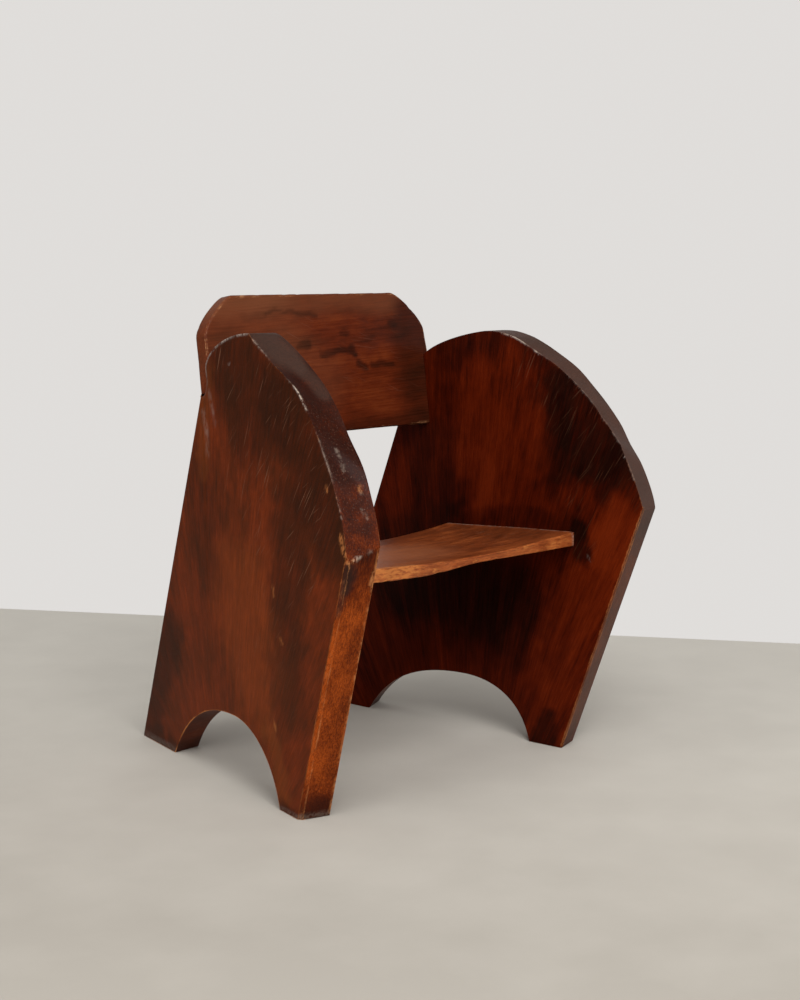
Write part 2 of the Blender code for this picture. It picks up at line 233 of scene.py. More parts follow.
sky_mix = add_node(sky_tree, "ShaderNodeMixShader", sky_parts)
fill(sky_tree, sky_tree.nodes["World Output"], {"Surface": sky_mix.outputs[0]})

for name, (place, size, power) in LAMP_PLACES_SIZES_POWERS.items():
    lamp_data = bpy.data.lights.new(name, "AREA")
    lamp_data.size = size
    lamp_data.energy = power
    lamp = add_object(name, lamp_data)
    lamp.location = place
    lamp.rotation_euler = (LAMP_AIM - Vector(place)).to_track_quat("-Z", "Y").to_euler()
bpy.context.scene.view_settings.view_transform = "Standard"
print("lamps:", ", ".join(LAMP_PLACES_SIZES_POWERS))

# %% [markdown]
# ## Sizes of the planks
# The frame was cut from a few named sizes, in metres. They are repeated here, because the planks are
# cut again with more detail. On a side, u runs rearward along the plank, w runs inward from its outer
# face and z is height. The sides lean out a little and toe in towards the rear.

# %% Sizes
LEFT = -1
RIGHT = 1
CLEARANCE = 0.0003
NOTCH_EASE = 0.0006
CHAIR_SHIFT = Vector((-0.00035653, -0.00028528, 0))
HALF_WIDTH = 0.2769
SIDE_THICKNESS = 0.05
TOE_IN = radians(9.18)
LEAN = tan(radians(0.9))

SEAT_FRONT_Y = -0.216
SEAT_REAR_Y = 0.043
SEAT_HEIGHT = 0.376
SEAT_FALL = 0.0105
SEAT_THICKNESS = 0.025
SEAT_DISH = 0.0145
SEAT_COVER = 0.034

BACK_FRONT_Y = 0.0851
BACK_BOTTOM_Z = 0.54
BACK_TOP_Z = 0.77
BACK_RECLINE = radians(8.06)
BACK_THICKNESS = 0.027
BACK_HOUSED_HEIGHT = 0.073


def face_half_width(y, z, offset):
    """Half of the chair's width at a point of a side's surface, at depth y and height z."""
    return HALF_WIDTH - y * tan(TOE_IN) + (LEAN * z + offset) / cos(TOE_IN)


def along_side(y, z, offset):
    """Distance u at which a side's surface reaches depth y at height z."""
    return (y - (LEAN * z + offset) * sin(TOE_IN)) / cos(TOE_IN)


def board_front(z):
    """Depth of the back board's front face at height z."""
    return BACK_FRONT_Y + (z - BACK_BOTTOM_Z) * tan(BACK_RECLINE)


print("a side is", SIDE_THICKNESS, "m thick")

# %% [markdown]
# ## Curves
# The outlines are straight runs and cubic bends. A bend has its two ends and a pull at each end, the
# way a sculptor springs a lath between two nails.


# %% Curves
def straight(start, end, steps):
    """Points of a straight run, without its end."""
    start = Vector(start)
    return [start.lerp(Vector(end), step / steps) for step in range(steps)]


def bend(start, start_pull, end_pull, end, steps):
    """Points of a cubic bend, without its end. The pulls are measured from the ends."""
    first = Vector(start)
    last = Vector(end)
    second = first + Vector(start_pull)
    third = last + Vector(end_pull)
    points = []
    for step in range(steps):
        t = step / steps
        s = 1 - t
        points.append(first * s**3 + second * (3 * s * s * t) + third * (3 * s * t * t) + last * t**3)
    return points


def eased(low, high, value):
    """0 under low, 1 over high, and an eased slope between."""
    t = min(1, max(0, (value - low) / (high - low)))
    return t * t * (3 - 2 * t)


# %% [markdown]
# ## Outline of a side
# One plank is leg, arm and panel in one. Each of its two faces has its own outline, because it was
# cut by hand and the edges aren't square. The outline goes up the rear edge, through the notch for the
# back board, over the head and the arm to the kink, down the front edge and back along the floor with
# its arch. The arm's curve was rounded by eye, so it swells and flattens by a few millimetres: each
# swell has a height, a reach and an amount. Each stretch has a name, so that wear can differ from one
# to the next.

# %% Outline of a side
HEEL_U = 0.353
NOTCH_FLOOR_Z = BACK_BOTTOM_Z + BACK_HOUSED_HEIGHT
SHOULDER_Z = NOTCH_FLOOR_Z + 0.005
HEAD_RISE = 0.048
HEAD_CREST_RUN = 0.05
CREST_REACH = 0.03
NOTCH_FILLET = 0.026
NOTCH_CORNER = 0.0012
FILLET_PULL = 0.6
FILLET_STEPS = 6
BEND_STEPS = 20
ARM_STEPS = 60
ARM_HEART = Vector((0, 0.38))
INSTEP_FRONT_U = -0.13
ARCH_PEAK_U = 0.012
ARCH_FRONT_PULL = (0.017, 0.07)
ARCH_REAR_PULL = (-0.045, 0.07)
ARCH_PEAK_FRONT_RUN = 0.066
ARCH_PEAK_REAR_RUN = 0.104
OUTER_FACE = {"offset": 0, "shoulder": 0.089, "splay": 0.028}
INNER_FACE = {"offset": -SIDE_THICKNESS, "shoulder": 0.135, "splay": 0}
LEFT_BOTH = {"crest": (-0.071, 0.718), "head_pull": (-0.012, 0.036), "arch": 0.115}
RIGHT_BOTH = {"crest": (-0.056, 0.708), "head_pull": (-0.027, 0.026), "arch": 0.099}
SIDE_FACES = {
    "left_outer": {
        **OUTER_FACE, **LEFT_BOTH, "crest_ease": 0, "crest_pull": (-0.058, -0.048),
        "kink_pull": (0.046, 0.248), "kink": (-0.336, 0.41), "toe": -0.189, "instep": 0.228,
        "swells": ((0.677, 0.016, -0.002), (0.64, 0.024, 0.004), (0.565, 0.042, -0.002),
                   (0.462, 0.06, 0.004)),
    },
    "left_inner": {
        **INNER_FACE, **LEFT_BOTH, "crest_ease": 2, "crest_pull": (-0.186, -0.067),
        "kink_pull": (0.008, 0.07), "kink": (-0.346, 0.432), "toe": -0.194, "instep": 0.24,
        "swells": ((0.643, 0.034, 0.002), (0.58, 0.034, -0.003), (0.53, 0.034, 0.002)),
    },
    "right_outer": {
        **OUTER_FACE, **RIGHT_BOTH, "crest_ease": 14, "crest_pull": (-0.187, -0.055),
        "kink_pull": (0.003, 0.04), "kink": (-0.337, 0.421), "toe": -0.188, "instep": 0.243,
        "swells": ((0.643, 0.03, 0.002), (0.525, 0.034, -0.003)),
    },
    "right_inner": {
        **INNER_FACE, **RIGHT_BOTH, "crest_ease": 14, "crest_pull": (-0.2, -0.072),
        "kink_pull": (0.027, 0.08), "kink": (-0.343, 0.424), "toe": -0.197, "instep": 0.226,
        "swells": ((0.675, 0.022, -0.002), (0.571, 0.022, -0.002), (0.527, 0.022, 0.002)),
    },
}


def swollen(point, face):
    """A point of the arm, pushed out where the hand-cut curve swells and in where it was cut flat."""
    out = sum(amount * eased(reach, 0, abs(point.y - height)) for height, reach, amount in face["swells"])
    return point + (point - ARM_HEART).normalized() * out


def soften_crest(outline, crest):
    """The outline with each point near the crest drawn half way to the middle of its neighbours."""
    softer = []
    neighbours = zip(outline[-1:] + outline[:-1], outline[1:] + outline[:1])
    for (stretch, point), ((unused, before), (unused, after)) in zip(outline, neighbours):
        if (point - crest).length < CREST_REACH:
            point = before.lerp(after, 0.5).lerp(point, 0.5)
        softer.append((stretch, point))
    return softer


def side_outline(face):
    """Named points of one face in u and z, from the heel up the rear edge and round."""

    def notch_wall(z):
        return (along_side(board_front(z) - NOTCH_EASE, z, face["offset"]) - face["splay"], z)

    fillet = NOTCH_FILLET if face["splay"] > 0 else NOTCH_CORNER
    pull = fillet * FILLET_PULL
    notch_start = Vector(notch_wall(NOTCH_FLOOR_Z)) + Vector((fillet, 0))
    notch_end = notch_wall(NOTCH_FLOOR_Z + fillet)
    notch_top = notch_wall(NOTCH_FLOOR_Z + HEAD_RISE)
    heel = (HEEL_U, 0)
    shoulder = (face["shoulder"], SHOULDER_Z)
    toe = (face["toe"], 0)
    instep_front = (INSTEP_FRONT_U, 0)
    instep_rear = (face["instep"], 0)
    peak = (ARCH_PEAK_U, face["arch"])
    arm = bend(face["crest"], face["crest_pull"], face["kink_pull"], face["kink"], ARM_STEPS)
    runs = (
        ("rear", straight(heel, shoulder, 2)),
        ("notch", straight(shoulder, notch_start, 1)),
        ("notch", bend(notch_start, (-pull, 0), (0, -pull), notch_end, FILLET_STEPS)),
        ("notch", straight(notch_end, notch_top, 1)),
        ("head", bend(notch_top, face["head_pull"], (HEAD_CREST_RUN, 0), face["crest"], BEND_STEPS)),
        ("arm", [swollen(point, face) for point in arm]),
        ("front", straight(face["kink"], toe, 2)),
        ("foot", straight(toe, instep_front, 1)),
        ("arch", bend(instep_front, ARCH_FRONT_PULL, (-ARCH_PEAK_FRONT_RUN, 0), peak, BEND_STEPS)),
        ("arch", bend(peak, (ARCH_PEAK_REAR_RUN, 0), ARCH_REAR_PULL, instep_rear, BEND_STEPS)),
        ("foot", straight(instep_rear, heel, 1)),
    )
    outline = [(stretch, point) for stretch, run in runs for point in run]
    for turn in range(face["crest_ease"]):
        outline = soften_crest(outline, Vector(face["crest"]))
    return outline


print("points in a side's outline:", len(side_outline(SIDE_FACES["left_outer"])))

# %% [markdown]
# ## Blank of a side
# The two outlines are bridged into a solid blank. One arris of each front edge was planed to a narrow
# flat, and every sharp corner was then rounded over by hand. Both are bevels: first the flat with one
# segment, then a round with three.

# %% Blank of a side
ARRIS_ROUND = 0.0024
ARRIS_SEGMENTS = 3
SHARP_CORNER = radians(24)


def bevel_edges(bm, edges, width, segments):
    bmesh.ops.bevel(bm, geom=edges, offset=width, offset_type="OFFSET", affect="EDGES",
                    segments=segments, profile=0.5, material=-1, clamp_overlap=True)


def round_arrises(bm, width):
    """Round every sharp outward corner of a blank."""
    sharp = [edge for edge in bm.edges if edge.is_convex and edge.calc_face_angle(0) > SHARP_CORNER]
    bevel_edges(bm, sharp, width, ARRIS_SEGMENTS)


def side_blank(outer, inner, flat_on_inner, flat_width):
    """A plank in u, w and z, with a planed flat along one arris of its front edge."""
    bm = bmesh.new()
    front_edge = []
    for face, depth in ((outer, 0), (inner, SIDE_THICKNESS)):
        outline = side_outline(face)
        rim = [bm.verts.new((u, depth, z)) for stretch, (u, z) in outline]
        bm.faces.new(rim)
        if (depth > 0) == flat_on_inner:
            corners = [vert for vert, (stretch, point) in zip(rim, outline) if stretch == "front"]
            corners.append(rim[rim.index(corners[-1]) + 1])
            front_edge = [bm.edges.get(pair) for pair in zip(corners, corners[1:])]
    bmesh.ops.bridge_loops(bm, edges=bm.edges[:])
    bmesh.ops.recalc_face_normals(bm, faces=bm.faces[:])
    bevel_edges(bm, front_edge, flat_width, 1)
    round_arrises(bm, ARRIS_ROUND)
    return bm


# %% [markdown]
# ## Seat blank
# The seat board is a grid that is pulled to the taper between the sides and dished across its top. Its
# underside bellies a little at the left of the front edge, as a hand-sawn board does. Grown by the
# clearance, the blank is also the cutter of its own housings in the sides.

# %% Seat blank
SEAT_CELLS = (128, 64)
SEAT_ROUND = 0.0022
SEAT_BELLY = 0.007
SEAT_BELLY_X = -0.075
SEAT_BELLY_REACH = {LEFT: 0.26, RIGHT: 0.13}
SEAT_BELLY_DEPTHS = (0.02, -0.2)


def seat_top(y):
    """Height of the seat board's top at its ends, at depth y."""
    return SEAT_HEIGHT - SEAT_FALL * (y - SEAT_FRONT_Y) / (SEAT_REAR_Y - SEAT_FRONT_Y)


def seat_blank(grow, cells_across, cells_deep):
    """The dished plank with its belly."""
    bm = bmesh.new()
    bmesh.ops.create_grid(bm, x_segments=cells_across, y_segments=cells_deep, size=1)
    top = bm.verts[:]
    lower = bmesh.ops.extrude_face_region(bm, geom=bm.faces[:])["geom"]
    under = [part for part in lower if isinstance(part, bmesh.types.BMVert)]
    middle = (SEAT_FRONT_Y + SEAT_REAR_Y) / 2
    half_depth = (SEAT_REAR_Y - SEAT_FRONT_Y) / 2 + grow
    for layer, is_top in ((top, True), (under, False)):
        for vert in layer:
            y = middle + vert.co.y * half_depth
            x = vert.co.x * (face_half_width(y, SEAT_HEIGHT, -SEAT_COVER) + grow)
            between = min(1, abs(x) / face_half_width(y, SEAT_HEIGHT, -SIDE_THICKNESS))
            height = seat_top(y) - SEAT_DISH * (1 - between**2) + grow
            if not is_top:
                reach = SEAT_BELLY_REACH[LEFT if x < SEAT_BELLY_X else RIGHT]
                belly = eased(reach, 0, abs(x - SEAT_BELLY_X)) * eased(*SEAT_BELLY_DEPTHS, y)
                height = seat_top(y) - SEAT_THICKNESS - grow - SEAT_BELLY * belly
            vert.co = (x, y, height)
    bmesh.ops.recalc_face_normals(bm, faces=bm.faces[:])
    return bm


# %% [markdown]
# ## Back blank
# The back board is a plain plank with one clipped and one rounded corner, which were sawn and filed
# after it was planed. Its outline is drawn lying in the slope of the board and then extruded to its
# thickness. Grown by the clearance, it cuts its own housings too.

# %% Back blank
BACK_COVER_LEFT = 0.02
BACK_COVER_RIGHT_LOW = 0.022
BACK_COVER_RIGHT_HIGH = 0.046
LEFT_CORNER_RUN = 0.06
LEFT_CORNER_DROP = 0.065
LEFT_CORNER_TOP_PULL = 0.011
LEFT_CORNER_END_PULL = 0.022
RIGHT_CORNER_RUN = 0.066
RIGHT_CORNER_DROP = 0.065
RIGHT_CORNER_PULL = 0.018
CORNER_STEPS = 14
BACK_ROUND = 0.0028


def back_end(z, offset):
    """Half length of the back board where its middle layer lies at height z."""
    return face_half_width(board_front(z) + BACK_THICKNESS / 2, z, offset)


def back_outline(grow):
    """Outline in x and in height up the slope, from the lower left corner round."""
    left = -back_end((BACK_BOTTOM_Z + BACK_TOP_Z) / 2, -BACK_COVER_LEFT) - grow
    right_low = back_end(BACK_BOTTOM_Z, -BACK_COVER_RIGHT_LOW) + grow
    right_high = back_end(BACK_TOP_Z, -BACK_COVER_RIGHT_HIGH) + grow
    bottom = -grow
    top = (BACK_TOP_Z - BACK_BOTTOM_Z) / cos(BACK_RECLINE) + grow
    slant = (right_high - right_low) / (top - bottom)
    right_start = (right_high - slant * RIGHT_CORNER_DROP, top - RIGHT_CORNER_DROP)
    right_pull = (slant * RIGHT_CORNER_PULL, RIGHT_CORNER_PULL)
    right_end = (right_high - RIGHT_CORNER_RUN, top)
    left_start = (left + LEFT_CORNER_RUN, top)
    left_end = (left, top - LEFT_CORNER_DROP)
    points = straight((left, bottom), (right_low, bottom), 1)
    points += straight((right_low, bottom), right_start, 1)
    points += bend(right_start, right_pull, (RIGHT_CORNER_PULL, 0), right_end, CORNER_STEPS)
    points += straight(right_end, left_start, 1)
    points += bend(left_start, (-LEFT_CORNER_TOP_PULL, 0), (0, LEFT_CORNER_END_PULL), left_end,
                   CORNER_STEPS)
    points += straight(left_end, (left, bottom), 1)
    return points


def back_blank(grow):
    """The back board before it is reclined, in x, thickness and height up its slope."""
    bm = bmesh.new()
    front = bm.faces.new([bm.verts.new((x, -grow, rise)) for x, rise in back_outline(grow)])
    made = bmesh.ops.extrude_face_region(bm, geom=[front], use_keep_orig=True)["geom"]
    rear = [part for part in made if isinstance(part, bmesh.types.BMVert)]
    bmesh.ops.translate(bm, verts=rear, vec=(0, BACK_THICKNESS + 2 * grow, 0))
    bmesh.ops.recalc_face_normals(bm, faces=bm.faces[:])
    return bm


# %% [markdown]
# ## From plank to chair
# Each plank is worked lying in its own directions and then set in its place by one matrix. The place
# goes into the mesh, so that the finished object itself stays at the origin, unturned.


# %% Places of the planks
def side_place(side):
    """Matrix from u, w and z to the chair. It leans, toes in and mirrors the plank."""
    lean = Matrix(((1, 0, 0, 0), (0, side, -side * LEAN, 0), (0, 0, 1, 0), (0, 0, 0, 1)))
    turn = Matrix.Rotation(pi / 2 + side * TOE_IN, 4, "Z")
    return Matrix.Translation(CHAIR_SHIFT + Vector((side * HALF_WIDTH, 0, 0))) @ turn @ lean


SEAT_PLACE = Matrix.Translation(CHAIR_SHIFT)
BACK_PLACE = (Matrix.Translation(CHAIR_SHIFT + Vector((0, BACK_FRONT_Y, BACK_BOTTOM_Z)))
              @ Matrix.Rotation(-BACK_RECLINE, 4, "X"))


def as_object(bm, name, place):
    """Set a plank in its place and make an object of it."""
    bm.transform(place)
    bmesh.ops.recalc_face_normals(bm, faces=bm.faces[:])
    return object_of(bm, name)


# %% [markdown]
# ## Housings
# The boards are let into the inner faces of the sides. A Boolean modifier takes the grown boards out of
# a side's blank while it has few faces, and its result is kept as a mesh. Cutting first and refining
# afterwards keeps the faces round a housing as even as the rest.

# %% Housings
WELD = 1e-5


def cut_housings(blank, cutters, place):
    """The blank with the cutters taken out of it, back in the plank's own directions."""
    for cutter in cutters:
        housing = blank.modifiers.new(cutter.name, "BOOLEAN")
        housing.operation = "DIFFERENCE"
        housing.solver = "EXACT"
        housing.object = cutter
    bpy.context.view_layer.update()
    graph = bpy.context.evaluated_depsgraph_get()
    mesh = bpy.data.meshes.new_from_object(blank.evaluated_get(graph))
    bm = bmesh.new()
    bm.from_mesh(mesh)
    bm.transform(place.inverted())
    bmesh.ops.remove_doubles(bm, verts=bm.verts[:], dist=WELD)
    bmesh.ops.dissolve_degenerate(bm, edges=bm.edges[:], dist=WELD)
    if place.determinant() < 0:
        bmesh.ops.reverse_faces(bm, faces=bm.faces[:])
    bm.normal_update()
    bpy.data.meshes.remove(mesh)
    bpy.data.objects.remove(blank)
    return bm


# %% [markdown]
# ## Fine cells
# Dents, chips and stains need many small faces. The plank is halved by a plane, then each half again,
# until its slices are one cell wide. Halving passes each cut only the faces that it can meet, which is
# much quicker than one full cut after another.

# %% Fine cells
CUT_TOLERANCE = 1e-6
CELL = 0.004
CELL_SLACK = 1.01
LONG_REACH = CELL * 128
THROUGH_REACH = CELL * 8


def slice_finer(bm, faces, axis, low, high, cell):
    if high - low <= cell * CELL_SLACK or not faces:
        return
    middle = (low + high) / 2
    point = Vector((0, 0, 0))
    point[axis] = middle
    direction = Vector((0, 0, 0))
    direction[axis] = 1
    parts = set(faces)
    for face in faces:
        parts.update(face.edges)
        parts.update(face.verts)
    cut = bmesh.ops.bisect_plane(bm, geom=list(parts), dist=CUT_TOLERANCE, plane_co=point,
                                 plane_no=direction)
    found = [part for part in cut["geom"] if isinstance(part, bmesh.types.BMFace)]
    below = [face for face in found if face.calc_center_median()[axis] < middle]
    above = [face for face in found if face.calc_center_median()[axis] >= middle]
    slice_finer(bm, below, axis, low, middle, cell)
    slice_finer(bm, above, axis, middle, high, cell)


def cut_cells(bm):
    """Cells of one size all over a plank that lies round the origin of its own directions."""
    slice_finer(bm, bm.faces[:], 0, -LONG_REACH, LONG_REACH, CELL)
    slice_finer(bm, bm.faces[:], 2, -CELL / 2, 2 * LONG_REACH - CELL / 2, CELL)
    slice_finer(bm, bm.faces[:], 1, SIDE_THICKNESS / 2 - THROUGH_REACH,
                SIDE_THICKNESS / 2 + THROUGH_REACH, CELL)
    bm.normal_update()


# %% [markdown]
# ## Strokes
# Stains, light patches, haze and scuffs sit in known places on the real chair, and some strokes paint
# shade, sheen and highlights into the colour as well. Each is a stroke: it runs from one point of a
# surface to another, with a width and a strength, and fades out at its sides.
# A little noise bends its border, so that it doesn't look like a drawn line. The strokes are added up
# at every vertex and kept as attributes of the mesh, which the finish reads. They are written in
# millimetres, as a row of start, end, width and strength.

# %% Strokes
MARK_KINDS = ("stain", "glow", "bloom", "scuff", "nick", "glint")
FINE_KINDS = ("nick", "glint")
NOISE_SHIFT = Vector((5.2, 1.7, 9.3))
STROKE_CORE = 0.3
BROAD_PITCH = 17
SMALL_PITCH = 55
SMALL_SHARE = 0.5


def strokes_of(**rows_by_kind):
    """Strokes of every kind in metres, from rows in millimetres."""
    marks = {kind: [] for kind in MARK_KINDS}
    for kind, rows in rows_by_kind.items():
        for start_x, start_y, end_x, end_y, width, strength in rows:
            begin = Vector((start_x / 1000, start_y / 1000))
            run = Vector((end_x / 1000, end_y / 1000)) - begin
            marks[kind].append((begin, run, width / 1000, strength))
    return marks


def stroke_amount(here, stroke):
    """How strongly one stroke covers a point."""
    begin, run, width, strength = stroke
    length = run.length_squared
    along = min(1, max(0, (here - begin).dot(run) / length)) if length > 0 else 0
    return strength * eased(width, STROKE_CORE * width, (here - begin - run * along).length)


def strokes_amount(here, strokes, ragged):
    """All strokes of one kind at a point, with a ragged border."""
    broad = here.to_3d() * BROAD_PITCH
    small = here.to_3d() * SMALL_PITCH
    sideways = noise.noise(broad) + SMALL_SHARE * noise.noise(small)
    upward = noise.noise(broad + NOISE_SHIFT) + SMALL_SHARE * noise.noise(small + NOISE_SHIFT)
    moved = here + Vector((sideways, upward)) * ragged
    return min(1, sum(stroke_amount(moved, stroke) for stroke in strokes))


def mark_layers(bm):
    """Vertex attributes for the marks, for wear and for the place in the plank."""
    layers = {kind: bm.verts.layers.float.new(kind) for kind in (*MARK_KINDS, "wear")}
    return layers, bm.verts.layers.float_vector.new("plank")


def write_marks(vert, layers, here, marks, ragged):
    """Keep the strokes of every kind at one vertex. Fine marks stay where they are drawn."""
    for kind in MARK_KINDS:
        vert[layers[kind]] = strokes_amount(here, marks[kind], 0 if kind in FINE_KINDS else ragged)


# %% [markdown]
# ## Marks on the sides
# Read off the photograph and set down in u and z on the faces, and in w and z on the front and arm
# edges. Stain is dark wood; below the seat on the right side and on the notch's ledge under the back
# board it is painted shade, and along the feet it darkens their bottom. Glow is the lighter warm wood.
# Bloom is the dull haze of old varnish together with painted sheen. Scuff is where fine scratches lie
# and nick is bare wood. Glint is mostly a painted highlight on rounded arrises and behind the left head,
# with pale scuffs and dust in a few places. A stroke as wide as a wash covers the whole surface. What
# the photograph can't show is kept quiet.

# %% Marks on the sides
WASH = 3000
SIDE_MARKS = {
    ("left", "outer"): strokes_of(
        stain=[(-185, 450, -150, 180, 75, 0.66), (10, 700, -80, 600, 130, 0.74),
               (-180, 630, -300, 460, 95, 0.88), (110, 480, 80, 360, 80, 0.35),
               # The strokes at height -5 darken the feet along their bottom.
               (340, -5, 240, -5, 46, 0.9), (-130, -5, -185, -5, 30, 0.8), (330, 20, 240, 200, 75, 0.8)],
        glow=[(-30, 310, -80, 215, 130, 0.55), (-90, 480, -130, 390, 90, 0.25),
              (-235, 300, -190, 60, 40, 0.25)],
        # Bloom on this face is the varnish's haze together with painted sheen, greyest near the rear
        # edge.
        bloom=[(0, 0, 0, 0, WASH, 0.27), (-30, 310, -80, 200, 140, 0.2), (70, 640, 95, 500, 34, 0.25),
               (-105, 120, -140, 30, 36, 0.3)],
        scuff=[(-30, 680, -200, 460, 200, 1), (-100, 400, -80, 200, 170, 0.45)],
        nick=[(-126, 343, -128, 332, 4.5, 0.5), (-144, 270, -150, 262, 4.5, 0.5),
              (-120, 135, -124, 124, 4.5, 0.5), (-286, 512, -288, 506, 3.6, 0.9),
              (-322, 446, -330, 424, 7, 1)],
        # The first five glint strokes paint pale highlights behind and below the head; the last two are
        # dust along the feet.
        glint=[(62, 622, 52, 592, 7, 0.15), (52, 592, 44, 574, 7, 0.08), (84, 588, 74, 560, 10, 0.14),
               (74, 560, 74, 525, 10, 0.1), (-7, 670, -7, 670, 4, 0.6), (350, 3, 230, 3, 12, 0.16),
               (-130, 2, -190, 2, 8, 0.16)],
    ),
    ("left", "fore"): strokes_of(
        stain=[(25, 720, 25, 560, 70, 0.95), (25, 540, 25, 485, 60, 0.36), (25, 490, 25, 430, 30, 0.34),
               (3, 405, 3, 330, 9, 0.5), (10, 405, 6, 375, 14, 0.5), (25, -5, 25, 4, 48, 0.7),
               (42, 300, 42, 80, 16, 0.22)],
        glow=[(25, 280, 25, 115, 100, 0.88), (34, 512, 16, 500, 12, 0.55), (40, 474, 24, 468, 10, 0.55),
              (20, 446, 40, 436, 14, 0.55), (30, 370, 30, 340, 40, 0.12)],
        # The first two bloom strokes paint the grey sheen at the arm's crest.
        bloom=[(25, 722, 25, 695, 42, 1), (34, 690, 40, 640, 18, 0.7), (3, 405, 3, 335, 9, 0.2),
               (10, 405, 6, 375, 14, 0.2)],
        scuff=[(25, 600, 25, 450, 50, 0.6)],
        nick=[(38, 512, 36, 508, 4, 0.5), (4, 412, 12, 414, 4.5, 0.8), (46, 392, 46, 376, 4.5, 0.8)],
        # The first four glint strokes paint highlights on the arm; the next two are pale scuffs at the
        # kink, the last is dust on the foot.
        glint=[(20, 564, 22, 554, 3.2, 0.24), (23, 545, 22, 534, 3, 0.2), (36, 504, 38, 504, 3, 0.2),
               (34, 482, 36, 470, 3, 0.2), (12, 415, 21, 418, 4, 0.5), (32, 424, 36, 425, 3.4, 0.18),
               (0, 3, 50, 3, 10, 0.14)],
    ),
    ("right", "inner"): strokes_of(
        stain=[(-195, 600, -310, 484, 85, 1), (-250, 545, -190, 500, 80, 0.7),
               # The wide stroke below the seat is painted shade.
               (-212, 378, -236, 338, 36, 1), (150, 270, -60, 240, 140, 0.85),
               (-160, 0, -166, 45, 34, 0.8), (115, 520, 60, 400, 80, 0.45), (60, 690, -30, 700, 60, 0.3),
               (60, 385, -200, 385, 30, 0.3), (-100, 690, -190, 640, 50, 0.3)],
        glow=[(-60, 600, -70, 460, 120, 0.34), (10, 460, -20, 430, 60, 0.6),
              (-270, 350, -195, 120, 70, 0.46), (-325, 430, -290, 340, 55, 0.7),
              (-165, 20, -150, 100, 50, 0.4)],
        scuff=[(-150, 640, -310, 480, 80, 0.4), (-220, 460, -230, 360, 60, 0.3)],
        glint=[(-306, 509, -306, 509, 5, 0.6), (-240, 338, -244, 330, 3.4, 0.14)],
    ),
    ("right", "fore"): strokes_of(
        stain=[(25, -5, 25, 4, 50, 0.5), (25, 700, 25, 430, 100, 0.45)],
        glow=[(25, 400, 25, 30, 60, 0.3)],
        # Bloom here paints the pale sheen along the right arm's edge.
        bloom=[(25, 710, 25, 420, 60, 0.9), (25, 400, 25, 60, 60, 0.7)],
        scuff=[(25, 700, 25, 430, 60, 0.6)],
    ),
}
QUIET_MARKS = strokes_of(
    # The last stain stroke is painted shade on the notch's ledge under the back board; the one at height
    # 0 darkens the feet along their bottom.
    stain=[(0, 200, 50, 450, 120, 0.35), (300, 0, -180, 0, 30, 0.5), (25, 614, 25, 614, 50, 0.9)],
    glow=[(-120, 200, -80, 500, 90, 0.45)],
    bloom=[(0, 0, 0, 0, WASH, 0.25), (50, 580, 150, 350, 60, 0.35)],
    scuff=[(0, 600, -200, 400, 180, 0.7)],
)
print("surfaces with marks:", len(SIDE_MARKS))

# %% [markdown]
# ## Wear along the arrises
# Hands and clothes rubbed the varnish off the corners, most of all along the front edges, where the two
# sides of the planed flat show as thin pale lines. The arms and the left head have a broken pale rim,
# a painted highlight where the rounded arris catches the light, with pale chips among it on the arms.
# Points are laid along every arris with the wear of their stretch, for the outer and then the inner
# arris, and a search tree finds the nearest one to any vertex. A vertex counts as part of an arris
# where the faces round it turn.

# %% Wear along the arrises
ARRIS_WEAR = {
    "left": {"rear": (0.2, 0.2), "notch": (0.15, 0.2), "head": (0.1, 0.3), "arm": (0.72, 0.34),
             "front": (1.2, 1.2), "foot": (0.9, 0.45), "arch": (1.05, 0.2)},
    "right": {"rear": (0.2, 0.2), "notch": (0.2, 0.2), "head": (0.25, 0.3), "arm": (0.3, 0.6),
              "front": (0.6, 1.1), "foot": (0.45, 0.55), "arch": (0.2, 0.3)},
}
LOW_ARM_WEAR = 0.95
LOW_ARM_HEIGHTS = (0.5, 0.45)
ARRIS_STEP = 0.002
ARRIS_TURN = (radians(5), radians(13))
ARRIS_NEAR = (0.012, 0.008)


def laid_along(point, after):
    """Points along one run of an arris."""
    return straight(point, after, max(1, int((after - point).length / ARRIS_STEP)))


def search_tree(places):
    """A tree that finds the nearest of some places."""
    tree = kdtree.KDTree(len(places))
    for index, place in enumerate(places):
        tree.insert(place, index)
    tree.balance()
    return tree


def arris_points(hand):
    """A search tree of points along both arrises of a side, and the wear and stretch at each."""
    places = []
    stretches = []
    for turn, (which, depth) in enumerate((("outer", 0), ("inner", SIDE_THICKNESS))):
        outline = side_outline(SIDE_FACES[hand + "_" + which])
        for (stretch, point), (unused, after) in zip(outline, outline[1:] + outline[:1]):
            wear = ARRIS_WEAR[hand][stretch][turn]
            if stretch == "arm":
                wear += (LOW_ARM_WEAR - wear) * eased(*LOW_ARM_HEIGHTS, point.y)
            for u, z in laid_along(point, after):
                places.append(Vector((u, depth, z)))
                stretches.append((wear, stretch))
    return search_tree(places), stretches


def arris_amount(vert):
    """1 on a rounded or planed arris, 0 on a flat."""
    turn = max((edge.calc_face_angle(0) for edge in vert.link_edges), default=0)
    return eased(*ARRIS_TURN, turn)


# %% [markdown]
# ## Pale rims
# The rims are painted highlights of the rounded arrises, with some pale chips on the arms. They come and
# go, so noise breaks them up. On each side only the arris towards the camera has them. Along the arm they
# are strongest below the head, and along the left front edge they are bare wood. A value that wanders
# round a middle, by noise of a given pitch, is needed again further on.

# %% Pale rims
# Along the left head and its notch the rim is a painted highlight.
RIM_GLINT = {"head": 0.75, "notch": 0.55}
RIM_REACH = (0.0045, 0.0012)
RIM_HEIGHTS = (0.6, 0.66)
RIM_WANDER = (40, 0.8, 0.6)
